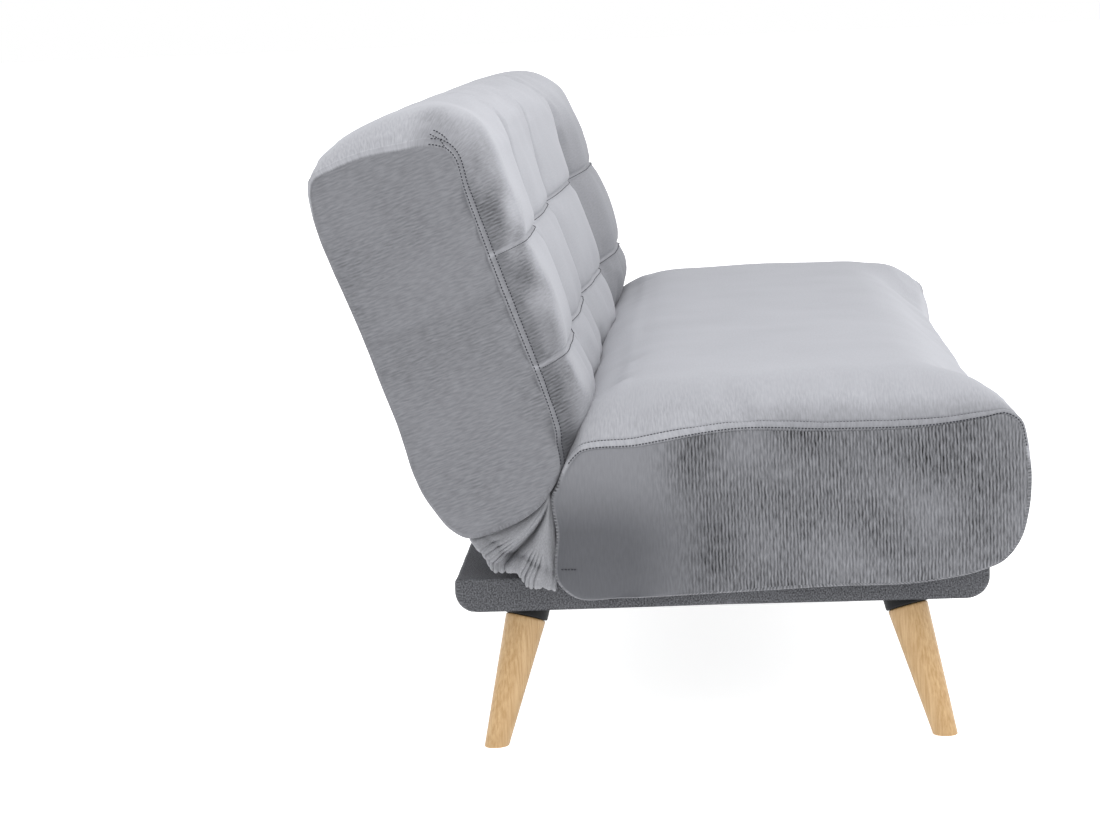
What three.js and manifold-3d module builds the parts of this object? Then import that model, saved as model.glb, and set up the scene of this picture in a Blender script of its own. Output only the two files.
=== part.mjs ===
// Click clack sofa bed: a padded seat and a reclining back on a fabric covered base with four splayed legs.
// Millimetres, +Z up. X runs along the sofa, the front faces -Y, and the floor is Z = 0.
// The back and the seat ride on four parallel links, which carry them forward as the bed opens.
import * as THREE from 'three';
import { mergeVertices } from 'three/addons/utils/BufferGeometryUtils.js';
import Module from 'manifold-3d';

const wasm = await Module();
wasm.setup();

// Running gap between neighbours, and the overrun of every cut
const gap = 0.3;
const overrun = 6;

// Seat and back as a whole
const sofaWidth = 1820;
const seatDepth = 596;
const seatSeamHeight = 425;
const seatSkirtHeight = 203;
const seatCrown = 47;
const backHeight = 461;
const backRearDepth = 115;
const backSideDepth = 78;
const backCrown = 50;
const backLeanDeg = 19.2;
const pivotHeight = 350;
const pivotSetback = 47;
const endWall = 36.5;
const endRounding = 5;
const crownRun = 150;
const crownPower = 2.2;

// Base slab
const baseEndInset = 30;
const baseDepth = 680;
const baseThickness = 44;
const baseUnderside = 185;
const seatFrontOverhang = 52;
const baseBottomRadius = 27;
const baseTopRadius = 6;
const coverThickness = 2;
const coverReturn = 135;
const deckThickness = 6;
const baseRailWidth = 45;
const cornerBlockSize = 90;
const dustClothThickness = 1;

// Legs, wedges and studs
const legInsetX = 85;
const legInsetFront = 100;
const legInsetRear = 84;
const legSplay = 42;
const legTopRadius = 26.5;
const legFootRadius = 15.5;
const wedgeThickness = 24;
const wedgeRadius = 28.5;
const studRadius = 4;
const studClearance = 0.3;
const studInLeg = 40;
const studInBlock = 28;

// Timber frames of the seat and the back
const railThickness = 25;
const seatRailHeight = 70;
const seatRailClearance = 7;
const seatFrontWall = 46;
const seatRearWall = 25;
const backRailDepth = 75;
const backFrameBottom = 34;
const backFrameTop = 421;
const panelThickness = 8;
const webbingThickness = 2.4;
const webbingWidth = 50;
const seatStrapCount = 10;
const seatLongStrapCount = 3;
const backStrapCount = 10;
const backLongStrapCount = 3;
const seatSkirtClearance = 3;
const centreRailLift = 6;
const dustCoverLift = 3;

// Hinge and shift linkage
const plateThickness = 4;
const linkLength = 110;
const bedShift = 200;
const linkSpacing = 160;
const linkHalfWidth = 10;
const linkEndRadius = 13;
const linkPinRadius = 5;
const pinClearance = 0.3;
const bracketEarRadius = 14;
const bracketEarClearance = 5;
const lowerPinRise = 21;
const bracketStripRise = 11;
const bracketFootThickness = 3;
const bracketFootWidth = 12;
const bracketFootEnd = 40;
const rivetHeadRadius = 8;
const rivetHeadThickness = 2;
const mainPinRadius = 7;
const mainHeadRadius = 12;
const mainHeadThickness = 3;
const hubRadius = 30;
const notchDepth = 6;
const notchHalfDeg = 7;
const notchMarginDeg = 1;
const notchCount = 3;
const hubStepDeg = 9;
const seatArmHeadRadius = 20;
const seatArmHalfWidth = 14;
const seatPlateHeight = 52;
const seatPlateEnd = 22;
const seatPlateDrop = 34;
const armBendForward = 137;
const armBendDrop = 65;
const backArmWidth = 44;
const backArmTop = 250;
const backArmBend = 110;
const backArmHip = 83;
const pawlReach = 56;
const pawlRadius = 9;
const pawlPinRadius = 4;
const pawlTipGap = 0.6;
const bracketSlack = 2.9;
const armSlotMargin = 3;
const armRoofClearance = 3;
const linkRoofClearance = 12;
const bufferRadius = 10;
const bufferFrontInset = 55;
const bufferRearInset = 230;

// Gusset between the seat and the back
const gussetThickness = 3;
const gussetEndInset = 8;
const gussetEndThickness = 18;
const gussetRun = 111;
const gussetRise = 49;
const gussetLipHeight = 69;

const degree = Math.PI / 180;
const sides = [['left', -1], ['right', 1]];
const backLean = backLeanDeg * degree;

// Colours and surfaces
const materialOf = (color, roughness, metalness = 0) => () => (
  new THREE.MeshStandardMaterial({ color, roughness, metalness })
);
const lightFabric = materialOf(0xbcbec4, 0.95);
const darkFabric = materialOf(0x646668, 0.95);
const blackCloth = materialOf(0x202124, 0.95);
const beech = materialOf(0xcdaa7d, 0.45);
const pine = materialOf(0xd3b382, 0.75);
const board = materialOf(0x9a7450, 0.8);
const blackPlastic = materialOf(0x17181a, 0.5);
const rubber = materialOf(0x1d1d1f, 0.85);
const zincSteel = materialOf(0xa9adb2, 0.38, 0.9);
const webbing = materialOf(0x3a3c40, 0.9);

// Closed solids, and the joins and cuts on them
function solidOf(geometry) {
  const bare = geometry.index ? geometry.clone() : geometry;
  bare.deleteAttribute('normal');
  bare.deleteAttribute('uv');
  const merged = mergeVertices(bare, 1e-4);
  const mesh = new wasm.Mesh({
    numProp: 3,
    vertProperties: new Float32Array(merged.attributes.position.array),
    triVerts: new Uint32Array(merged.index.array),
  });
  return new wasm.Manifold(mesh);
}

function geometryOf(solid) {
  const mesh = solid.getMesh();
  const geometry = new THREE.BufferGeometry();
  geometry.setAttribute('position', new THREE.BufferAttribute(mesh.vertProperties, 3));
  geometry.setIndex(new THREE.BufferAttribute(mesh.triVerts, 1));
  return geometry;
}

const cut = (body, ...tools) => tools.reduce((rest, tool) => rest.subtract(tool), body);
const join = (body, ...others) => others.reduce((whole, other) => whole.add(other), body);

function pieceOf(name, solid, material) {
  const mesh = new THREE.Mesh(geometryOf(solid), material());
  mesh.name = name;
  return mesh;
}

// A straight box between two corners
function block(fromX, toX, fromY, toY, fromZ, toZ) {
  const geometry = new THREE.BoxGeometry(toX - fromX, toY - fromY, toZ - fromZ);
  geometry.translate((fromX + toX) / 2, (fromY + toY) / 2, (fromZ + toZ) / 2);
  return solidOf(geometry);
}

// An outline of [y, z] points pushed along X from one station to another
function slab(outline, fromX, toX) {
  const shape = new THREE.Shape(outline.map(([y, z]) => new THREE.Vector2(y, z)));
  const geometry = new THREE.ExtrudeGeometry(shape, { depth: toX - fromX, bevelEnabled: false });
  const turn = new THREE.Matrix4();
  turn.makeBasis(new THREE.Vector3(0, 1, 0), new THREE.Vector3(0, 0, 1), new THREE.Vector3(1, 0, 0));
  geometry.applyMatrix4(turn);
  geometry.translate(fromX, 0, 0);
  return solidOf(geometry);
}

// A round bar along X about the point y, z
function rod(radius, fromX, toX, y, z, segments = 20) {
  const geometry = new THREE.CylinderGeometry(radius, radius, toX - fromX, segments);
  geometry.rotateZ(Math.PI / 2);
  geometry.translate((fromX + toX) / 2, y, z);
  return solidOf(geometry);
}

// Inner and outer distances from the middle, as a span of X on one side
const spanOn = (side, inner, outer) => (side > 0 ? [inner, outer] : [-outer, -inner]);

// A closed form through rings of [x, y, z] points, with a fan at each end
function loft(rings) {
  const count = rings[0].length;
  const points = rings.flat();
  const faces = [];
  for (let ring = 0; ring + 1 < rings.length; ring += 1) {
    for (let at = 0; at < count; at += 1) {
      const next = (at + 1) % count;
      const a = ring * count + at;
      const b = ring * count + next;
      faces.push(a, b + count, b, a, a + count, b + count);
    }
  }
  const middleOf = (ring) => [0, 1, 2].map((axis) => (
    ring.reduce((sum, point) => sum + point[axis], 0) / count
  ));
  const firstMiddle = points.length;
  points.push(middleOf(rings[0]), middleOf(rings[rings.length - 1]));
  const lastRing = (rings.length - 1) * count;
  for (let at = 0; at < count; at += 1) {
    const next = (at + 1) % count;
    faces.push(firstMiddle, at, next);
    faces.push(firstMiddle + 1, lastRing + next, lastRing + at);
  }
  const geometry = new THREE.BufferGeometry();
  geometry.setAttribute('position', new THREE.Float32BufferAttribute(points.flat(), 3));
  geometry.setIndex(faces);
  return solidOf(geometry);
}

// Outlines of the back, from its pivot: y rearward and z up the back, as shares of its depths and heights.
// Each row holds the end panel's seam point, then how far the crown lifts it forward and up.
const backOutlineShares = [
  { y: -0.79, z: 0.004, lift: [-0.36, 0.24], on: 'front' },
  { y: -0.9, z: 0.16, lift: [-0.98, 0.03], on: 'front' },
  { y: -0.94, z: 0.25, lift: [-0.99, 0], on: 'front' },
  { y: -0.94, z: 0.288, lift: [-0.85, 0], on: 'front' },
  { y: -0.94, z: 0.33, lift: [-0.99, 0], on: 'front' },
  { y: -0.94, z: 0.455, lift: [-1.01, 0], on: 'front' },
  { y: -0.94, z: 0.575, lift: [-0.99, 0], on: 'front' },
  { y: -0.94, z: 0.618, lift: [-0.85, 0], on: 'front' },
  { y: -0.94, z: 0.66, lift: [-0.98, 0], on: 'front' },
  { y: -0.96, z: 0.818, lift: [-0.94, 0.06], on: 'front' },
  { y: -1, z: 0.9, lift: [-0.72, 0.24], on: 'front' },
  { y: -0.9, z: 0.937, lift: [-0.48, 0.46], on: 'front' },
  { y: -0.55, z: 0.97, lift: [-0.3, 0.5], on: 'front' },
  { y: -0.24, z: 0.98, lift: [-0.1, 0.6], on: 'front' },
  { y: 0.27, z: 1, lift: [0, 0.48], on: 'rear' },
  { y: 0.63, z: 0.998, lift: [0.02, 0.36], on: 'rear' },
  { y: 0.87, z: 0.989, lift: [0.02, 0.16], on: 'rear' },
  { y: 0.95, z: 0.961, lift: [0, 0.02], on: 'rear' },
  { y: 1, z: 0.911, lift: [0, 0], on: 'rear' },
  { y: 1, z: 0.6, lift: [0, 0], on: 'rear' },
  { y: 1, z: 0.3, lift: [0, 0], on: 'rear' },
  { y: 0.983, z: 0.026, lift: [0, 0], on: 'rear' },
  { y: 0.88, z: -0.046, lift: [0, 0], on: 'rear' },
  { y: 0.765, z: -0.08, lift: [0, 0], on: 'rear' },
  { y: 0.4, z: -0.0933, lift: [0, 0], on: 'rear' },
  { y: 0.104, z: -0.089, lift: [0, 0], on: 'rear' },
  { y: -0.24, z: -0.07, lift: [0, 0], on: 'front' },
  { y: -0.51, z: -0.039, lift: [0, 0], on: 'front' },
];
// Slot in the back cushion for the hinge, as shares of the hub's swept radius
const armSlotShares = [
  [-1, 1],
  [-1, 0.5],
  [-2.4, -1],
  [-2.4, -1.85],
  [1.7, -1.85],
  [1.6, -0.5],
  [1.6, 1],
  [2, 4],
  [0.9, 4],
  [-0.65, 1.6],
];
const backColumnCount = 4;
const columnStationShares = [0, 0.08, 0.22, 0.4, 0.6, 0.78, 0.92];
const channelPower = 2.6;
const channelDepthShare = 0.72;
const channelFadeFromShare = 0.62;
const channelFadeToShare = 0.97;

// Outline of the seat, as shares of its depth and side height, with its crown's lift
const seatOutlineShares = [
  { y: 0, z: 0.617, lift: [0, 0.02] },
  { y: 0.054, z: 0.82, lift: [-0.1, 0.6] },
  { y: 0.176, z: 0.883, lift: [0.06, 1.05] },
  { y: 0.381, z: 0.964, lift: [0.15, 0.98] },
  { y: 0.587, z: 0.946, lift: [0, 1.1] },
  { y: 0.79, z: 0.946, lift: [0, 1.04] },
  { y: 0.913, z: 0.986, lift: [0.06, 0.6] },
  { y: 0.953, z: 1, lift: [0.06, 0.2] },
  { y: 0.98, z: 0.955, lift: [0.06, 0.05] },
  { y: 0.992, z: 0.838, lift: [0, 0] },
  { y: 1, z: 0.64, lift: [0, 0] },
  { y: 0.994, z: 0.437, lift: [0, 0] },
  { y: 0.976, z: 0.27, lift: [0, 0] },
  { y: 0.943, z: 0.158, lift: [0, 0] },
  { y: 0.886, z: 0.095, lift: [0, 0] },
  { y: 0.782, z: 0.045, lift: [0, 0] },
  { y: 0.577, z: 0.032, lift: [0, 0] },
  { y: 0.3, z: 0.009, lift: [0, 0] },
  { y: 0.13, z: 0, lift: [0, 0] },
  { y: 0.025, z: 0.018, lift: [0, 0] },
  { y: 0, z: 0.077, lift: [0, 0] },
];
const seatStationShares = [0.12, 0.33, 0.6, 1];

// Outline of the gusset: its sheet, its end web's skirt and its end web's upper edge
const gussetSheetShares = [[0, 0], [0.36, 0.01], [0.65, 0.22], [0.86, 0.57], [1, 1]];
const gussetSkirtShares = [[0, 0.59], [0.36, 0.38]];
const gussetCrestShares = [[0.68, 0.81], [0.4, 0.99], [0.2, 1.19]];

// Places worked out from the sizes
const backReach = Math.max(...backOutlineShares.map(({ y, z, lift }) => {
  const depth = y > 0 ? backRearDepth : backSideDepth;
  const across = y * depth + lift[0] * backCrown;
  const along = z * backHeight + lift[1] * backCrown;
  return across * Math.cos(backLean) + along * Math.sin(backLean);
}));
const seatFront = -(seatDepth + pivotSetback + backReach) / 2;
const seatRear = seatFront + seatDepth;
const pivotY = seatRear + pivotSetback;
const halfWidth = sofaWidth / 2;
const baseFront = seatFront + seatFrontOverhang;
const baseRear = baseFront + baseDepth;
const baseTop = baseUnderside + baseThickness;
const halfBase = halfWidth - baseEndInset;
const reclineDeg = 90 - backLeanDeg;

const seatRailUnder = baseTop + seatRailClearance;
const seatRailTop = seatRailUnder + seatRailHeight;
const cavityFront = seatFront + seatFrontWall;
const cavityRear = seatRear - seatRearWall;
const webbingTop = seatRailTop + webbingThickness + gap;

// Layers of the mechanism from the end wall inward, as distances from the middle
const mechanismOuter = halfWidth - endWall;
const bracketOuter = mechanismOuter - bracketSlack;
const bracketInner = bracketOuter - plateThickness;
const linkOuter = bracketInner - gap;
const linkInner = linkOuter - plateThickness;
const seatArmOuter = linkInner - gap;
const seatArmInner = seatArmOuter - plateThickness;
const seatRailOuter = seatArmInner - gap;
const seatRailInner = seatRailOuter - railThickness;
const backRailOuter = linkInner - gap;
const backRailInner = backRailOuter - railThickness;
const mainPinInner = seatArmInner - pinClearance - mainHeadThickness;

// Pivots of the shift linkage
const restAngle = Math.acos(bedShift / 2 / linkLength);
const lowerPinZ = baseTop + lowerPinRise;
const rearLowerY = cavityRear - bedShift - bracketEarRadius - bracketEarClearance;
const lowerPins = { rear: rearLowerY, front: rearLowerY - linkSpacing };
const pinAdvance = linkLength * Math.cos(restAngle);
const pinRise = linkLength * Math.sin(restAngle);
const upperPinZ = lowerPinZ + pinRise;

// Direction of the seat arm from the main pivot, seen from the seat and from the back
const armAngle = Math.PI + Math.atan2(armBendDrop, armBendForward);
const armAngleInBack = armAngle + backLean;

// Base frame and cover
function roundedBand(minY, maxY, minZ, maxZ, bottomRadius, topRadius) {
  const arcSteps = 5;
  const corners = [
    [maxY - bottomRadius, minZ + bottomRadius, bottomRadius, -90],
    [maxY - topRadius, maxZ - topRadius, topRadius, 0],
    [minY + topRadius, maxZ - topRadius, topRadius, 90],
    [minY + bottomRadius, minZ + bottomRadius, bottomRadius, 180],
  ];
  return corners.flatMap(([y, z, radius, start]) => Array.from({ length: arcSteps + 1 }, (_, step) => {
    const angle = (start + (90 * step) / arcSteps) * degree;
    return [y + radius * Math.cos(angle), z + radius * Math.sin(angle)];
  }));
}

const frameInset = coverThickness + gap;
const coverOutline = roundedBand(
  baseFront,
  baseRear,
  baseUnderside,
  baseTop,
  baseBottomRadius,
  baseTopRadius,
);
const hollowOf = (inset) => roundedBand(
  baseFront + inset,
  baseRear - inset,
  baseUnderside + inset,
  baseTop - inset,
  baseBottomRadius - inset,
  baseTopRadius - inset,
);
const frameHalf = halfBase - frameInset;
const frameTop = baseTop - frameInset;
const railTop = frameTop - deckThickness - gap;
const frameFront = baseFront + frameInset;
const frameRear = baseRear - frameInset;
const legPlaces = [
  { end: 'front', y: baseFront + legInsetFront, outward: -1 },
  { end: 'rear', y: baseRear - legInsetRear, outward: 1 },
];
const legTopZ = baseUnderside - wedgeThickness;
const legX = halfBase - legInsetX;

function baseFrame() {
  const whole = slab(hollowOf(frameInset), -frameHalf, frameHalf);
  const below = [baseUnderside - overrun, railTop];
  const innerFront = frameFront + baseRailWidth;
  const innerRear = frameRear - baseRailWidth;
  const within = (rear, front, heights) => (
    whole.intersect(block(-halfBase, halfBase, front, rear, ...heights))
  );
  const pieces = [
    pieceOf('base_front_rail', within(innerFront, baseFront, below), pine),
    pieceOf('base_rear_rail', within(baseRear, innerRear, below), pine),
    pieceOf('base_deck', within(baseRear, baseFront, [railTop + gap, baseTop]), board),
  ];
  const railUnder = baseUnderside + frameInset;
  const between = [innerFront + gap, innerRear - gap, railUnder, railTop];
  pieces.push(pieceOf('base_centre_rail', block(-baseRailWidth / 2, baseRailWidth / 2, ...between), pine));
  for (const [side, sign] of sides) {
    const [fromX, toX] = spanOn(sign, frameHalf - baseRailWidth, frameHalf);
    pieces.push(pieceOf(`base_end_rail_${side}`, block(fromX, toX, ...between), pine));
  }
  return pieces;
}

function baseCover() {
  const shell = cut(
    slab(coverOutline, -halfBase, halfBase),
    slab(hollowOf(coverThickness), -halfBase + coverThickness, halfBase - coverThickness),
    block(-halfBase + coverReturn, halfBase - coverReturn, baseFront + coverReturn, baseRear - coverReturn,
      baseUnderside - overrun, baseUnderside + coverThickness + gap),
    ...legCorners().map((corner) => studHole(corner)),
  );
  return pieceOf('base_cover', shell, darkFabric);
}

function baseDustCover() {
  const inset = coverReturn + gap;
  const across = halfBase - inset;
  const cloth = block(-across, across, baseFront + inset, baseRear - inset,
    baseUnderside, baseUnderside + dustClothThickness);
  return pieceOf('base_dust_cover', cloth, blackCloth);
}

// Legs, each with its wedge, stud and corner block
function legCorners() {
  return legPlaces.flatMap(({ end, y, outward }) => sides.map(([side, sign]) => ({
    name: `${end}_${side}`,
    sign,
    outward,
    top: new THREE.Vector3(sign * legX, y, legTopZ),
    foot: new THREE.Vector3(sign * (legX + legSplay), y + outward * legSplay, 0),
  })));
}

// A round bar along the leg's axis, from one distance above the leg's top to another
function alongLeg(corner, radiusLow, radiusHigh, low, high, segments = 24) {
  const up = corner.top.clone().sub(corner.foot).normalize();
  const geometry = new THREE.CylinderGeometry(radiusHigh, radiusLow, high - low, segments);
  geometry.translate(0, (low + high) / 2, 0);
  geometry.applyQuaternion(new THREE.Quaternion().setFromUnitVectors(new THREE.Vector3(0, 1, 0), up));
  geometry.translate(corner.top.x, corner.top.y, corner.top.z);
  return solidOf(geometry);
}

const studEnd = wedgeThickness + studInBlock;
const studHole = (corner, low = -studInLeg - gap) => (
  alongLeg(corner, studRadius + studClearance, studRadius + studClearance, low, studEnd + overrun, 16)
);

function legPieces(corner) {
  const legLength = corner.top.distanceTo(corner.foot);
  const overshoot = legTopRadius;
  const taper = (legTopRadius - legFootRadius) / legLength;
  const lowRadius = legFootRadius - taper * overshoot;
  const underFloor = block(-sofaWidth, sofaWidth, -baseDepth, baseDepth, -sofaWidth, 0);
  const leg = cut(
    alongLeg(corner, lowRadius, legTopRadius, -legLength - overshoot, 0),
    underFloor,
    studHole(corner),
  );
  const overBase = block(-sofaWidth, sofaWidth, -baseDepth, baseDepth, baseUnderside - gap, sofaWidth);
  const wedge = cut(
    alongLeg(corner, wedgeRadius, wedgeRadius, gap, 2 * wedgeThickness),
    overBase,
    studHole(corner),
  );
  const stud = alongLeg(corner, studRadius, studRadius, -studInLeg, studEnd, 16);
  const railUnder = baseUnderside + frameInset;
  const railSide = frameHalf - baseRailWidth - gap;
  const [fromX, toX] = spanOn(corner.sign, railSide - cornerBlockSize, railSide);
  const innerEdge = corner.outward > 0 ? frameRear - baseRailWidth - gap : frameFront + baseRailWidth + gap;
  const innerSide = innerEdge - corner.outward * cornerBlockSize;
  const blockSolid = cut(
    block(fromX, toX, Math.min(innerEdge, innerSide), Math.max(innerEdge, innerSide), railUnder, railTop),
    studHole(corner),
  );
  return [
    pieceOf(`leg_${corner.name}`, leg, beech),
    pieceOf(`leg_wedge_${corner.name}`, wedge, blackPlastic),
    pieceOf(`leg_stud_${corner.name}`, stud, zincSteel),
    pieceOf(`base_corner_block_${corner.name}`, blockSolid, pine),
  ];
}

// Rubber buffers on the base, under the seat's end rails
function buffers() {
  const height = seatRailClearance - 2 * gap;
  const places = [['front', cavityFront + bufferFrontInset], ['rear', cavityRear - bufferRearInset]];
  return sides.flatMap(([side, sign]) => places.map(([end, y]) => {
    const geometry = new THREE.CylinderGeometry(bufferRadius, bufferRadius, height, 16);
    geometry.rotateX(Math.PI / 2);
    geometry.translate(sign * (seatRailInner + seatRailOuter) / 2, y, baseTop + gap + height / 2);
    return pieceOf(`buffer_${end}_${side}`, solidOf(geometry), rubber);
  }));
}

// Fixed bracket on the base, with the two lower pins of the shift links
function baseBracket(side, sign) {
  const underside = baseTop + gap;
  const stripTop = underside + bracketStripRise;
  const stripFrom = lowerPins.front - bracketEarRadius;
  const stripTo = lowerPins.rear + bracketEarRadius;
  const plate = spanOn(sign, bracketInner, bracketOuter);
  const foot = spanOn(sign, bracketOuter - bracketFootWidth, bracketOuter);
  const pin = spanOn(sign, linkInner, bracketOuter);
  let bracket = join(
    block(...plate, stripFrom, stripTo, underside, stripTop),
    block(...foot, stripFrom - bracketFootEnd, stripTo, underside, underside + bracketFootThickness),
  );
  for (const y of Object.values(lowerPins)) {
    bracket = join(
      bracket,
      rod(bracketEarRadius, ...plate, y, lowerPinZ),
      block(...plate, y - bracketEarRadius, y + bracketEarRadius, underside, lowerPinZ),
      rod(linkPinRadius, ...pin, y, lowerPinZ),
    );
  }
  return pieceOf(`base_bracket_${side}`, bracket, zincSteel);
}

// A shift link: a flat bar with a hole at each end, turned about its lower pin
function shiftLink(end, side, sign) {
  const layer = spanOn(sign, linkInner, linkOuter);
  const holeLayer = spanOn(sign, linkInner - overrun, linkOuter + overrun);
  const hole = linkPinRadius + pinClearance;
  const bar = cut(
    join(
      block(...layer, 0, linkLength, -linkHalfWidth, linkHalfWidth),
      rod(linkEndRadius, ...layer, 0, 0),
      rod(linkEndRadius, ...layer, linkLength, 0),
    ),
    rod(hole, ...holeLayer, 0, 0),
    rod(hole, ...holeLayer, linkLength, 0),
  );
  const link = pieceOf(`${end}_link_${side}`, bar, zincSteel);
  link.position.set(0, lowerPins[end], lowerPinZ);
  link.rotation.x = restAngle;
  return link;
}

// Seat arm: a plate on the seat's end rail, bent up to the main pivot
function seatArm(side, sign) {
  const layer = spanOn(sign, seatArmInner, seatArmOuter);
  const holeLayer = spanOn(sign, seatArmInner - overrun, seatArmOuter + overrun);
  const rivet = spanOn(sign, seatArmInner, linkOuter);
  const rivetHead = spanOn(sign, linkOuter + gap, linkOuter + gap + rivetHeadThickness);
  const rivetNeck = spanOn(sign, linkOuter, linkOuter + gap);
  const upperFront = lowerPins.front + pinAdvance;
  const upperRear = lowerPins.rear + pinAdvance;
  const plateBottom = upperPinZ - seatPlateDrop;
  const plateTop = plateBottom + seatPlateHeight;
  const bendY = pivotY - armBendForward;
  const bendZ = pivotHeight - armBendDrop;
  const edgeY = -seatArmHalfWidth * Math.sin(armAngle);
  const edgeZ = seatArmHalfWidth * Math.cos(armAngle);
  const outline = [
    [upperFront - seatPlateEnd, plateBottom],
    [upperRear + seatPlateEnd, plateBottom],
    [bendY + edgeY, bendZ + edgeZ],
    [pivotY + edgeY, pivotHeight + edgeZ],
    [pivotY - edgeY, pivotHeight - edgeZ],
    [bendY - edgeY, bendZ - edgeZ],
    [upperRear + seatPlateEnd, plateTop],
    [upperFront - seatPlateEnd, plateTop],
  ];
  const pawlY = pivotY + pawlReach * Math.cos(armAngle);
  const pawlZ = pivotHeight + pawlReach * Math.sin(armAngle);
  const pawlStud = join(
    rod(pawlPinRadius, ...rivet, pawlY, pawlZ, 16),
    rod(pawlPinRadius, ...rivetNeck, pawlY, pawlZ, 16),
    rod(pawlPinRadius + rivetHeadThickness, ...rivetHead, pawlY, pawlZ, 16),
  );
  let arm = join(slab(outline, ...layer), rod(seatArmHeadRadius, ...layer, pivotY, pivotHeight), pawlStud);
  for (const y of [upperFront, upperRear]) {
    arm = join(
      arm,
      rod(linkPinRadius, ...rivet, y, upperPinZ),
      rod(linkPinRadius, ...rivetNeck, y, upperPinZ),
      rod(rivetHeadRadius, ...rivetHead, y, upperPinZ),
    );
  }
  const bore = rod(mainPinRadius + pinClearance, ...holeLayer, pivotY, pivotHeight);
  return pieceOf(`seat_arm_${side}`, cut(arm, bore), zincSteel);
}

function mainPivot(side, sign) {
  const shankEnd = linkOuter + pinClearance;
  const headFrom = (x) => (
    rod(mainHeadRadius, ...spanOn(sign, x, x + mainHeadThickness), pivotY, pivotHeight)
  );
  const pin = join(
    rod(mainPinRadius, ...spanOn(sign, mainPinInner, shankEnd + mainHeadThickness), pivotY, pivotHeight),
    headFrom(mainPinInner),
    headFrom(shankEnd),
  );
  return pieceOf(`main_pivot_${side}`, pin, zincSteel);
}

// Pawl: a small lever whose nose points at the notched hub
function pawl(side, sign) {
  const layer = spanOn(sign, linkInner, linkOuter);
  const holeLayer = spanOn(sign, linkInner - overrun, linkOuter + overrun);
  const noseReach = pawlReach - hubRadius - pawlTipGap;
  const lever = cut(
    join(
      rod(pawlRadius, ...layer, 0, 0),
      slab([[-pawlRadius, 0], [0, -pawlRadius], [noseReach, 0], [0, pawlRadius]], ...layer),
    ),
    rod(pawlPinRadius + pinClearance, ...holeLayer, 0, 0, 16),
  );
  const piece = pieceOf(`pawl_${side}`, lever, zincSteel);
  const hinge = [pawlReach * Math.cos(armAngle), pawlReach * Math.sin(armAngle)];
  piece.position.set(0, pivotY + hinge[0], pivotHeight + hinge[1]);
  piece.rotation.x = armAngle - Math.PI;
  return piece;
}

// Back arm: the notched hub about the main pivot, with a plate up the back's end rail
function backArm(side, sign) {
  const layer = spanOn(sign, linkInner, linkOuter);
  const holeLayer = spanOn(sign, linkInner - overrun, linkOuter + overrun);
  const plateFront = backRearDepth - panelThickness - backRailDepth + gap;
  const arm = [
    [-hubRadius + notchDepth, notchDepth],
    [hubRadius - notchDepth, -notchDepth],
    [plateFront + backArmWidth, backArmHip],
    [plateFront + backArmWidth, backArmTop],
    [plateFront, backArmTop],
    [plateFront, backArmBend],
  ];
  const toothed = cut(
    join(slab(hubOutline(), ...layer), slab(arm, ...layer)),
    rod(mainPinRadius + pinClearance, ...holeLayer, 0, 0),
  );
  return pieceOf(`back_arm_${side}`, toothed, zincSteel);
}

// Hub outline with a notch for each position of the back
function hubOutline() {
  const points = [];
  const notchStep = reclineDeg / (notchCount - 1);
  const notches = Array.from({ length: notchCount }, (_, at) => armAngleInBack / degree + notchStep * at);
  for (let angle = 0; angle < 360; angle += hubStepDeg) {
    const clear = notches.every((notch) => Math.abs(angle - notch) > notchHalfDeg + notchMarginDeg);
    if (clear) points.push([angle, hubRadius]);
  }
  for (const notch of notches) {
    points.push([notch - notchHalfDeg, hubRadius]);
    points.push([notch, hubRadius - notchDepth]);
    points.push([notch + notchHalfDeg, hubRadius]);
  }
  points.sort((a, b) => a[0] - b[0]);
  return points.map(([angle, radius]) => (
    [radius * Math.cos(angle * degree), radius * Math.sin(angle * degree)]
  ));
}

// Straps woven across a frame opening, as one net: long straps along X, short ones across
function strapNet(minX, maxX, minA, maxA, strapCount, longCount, place) {
  const spanX = maxX - minX;
  const spanA = maxA - minA;
  const pitchX = spanX / strapCount;
  const pitchA = spanA / longCount;
  let net = place(minX, maxX, minA, maxA);
  for (let column = 0; column < strapCount; column += 1) {
    for (let row = 0; row < longCount; row += 1) {
      const fromX = minX + column * pitchX + webbingWidth / 2;
      const fromA = minA + row * pitchA + webbingWidth / 2;
      const toX = fromX + pitchX - webbingWidth;
      const toA = fromA + pitchA - webbingWidth;
      net = cut(net, place(fromX, toX, fromA, toA, overrun));
    }
  }
  return net;
}

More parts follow.
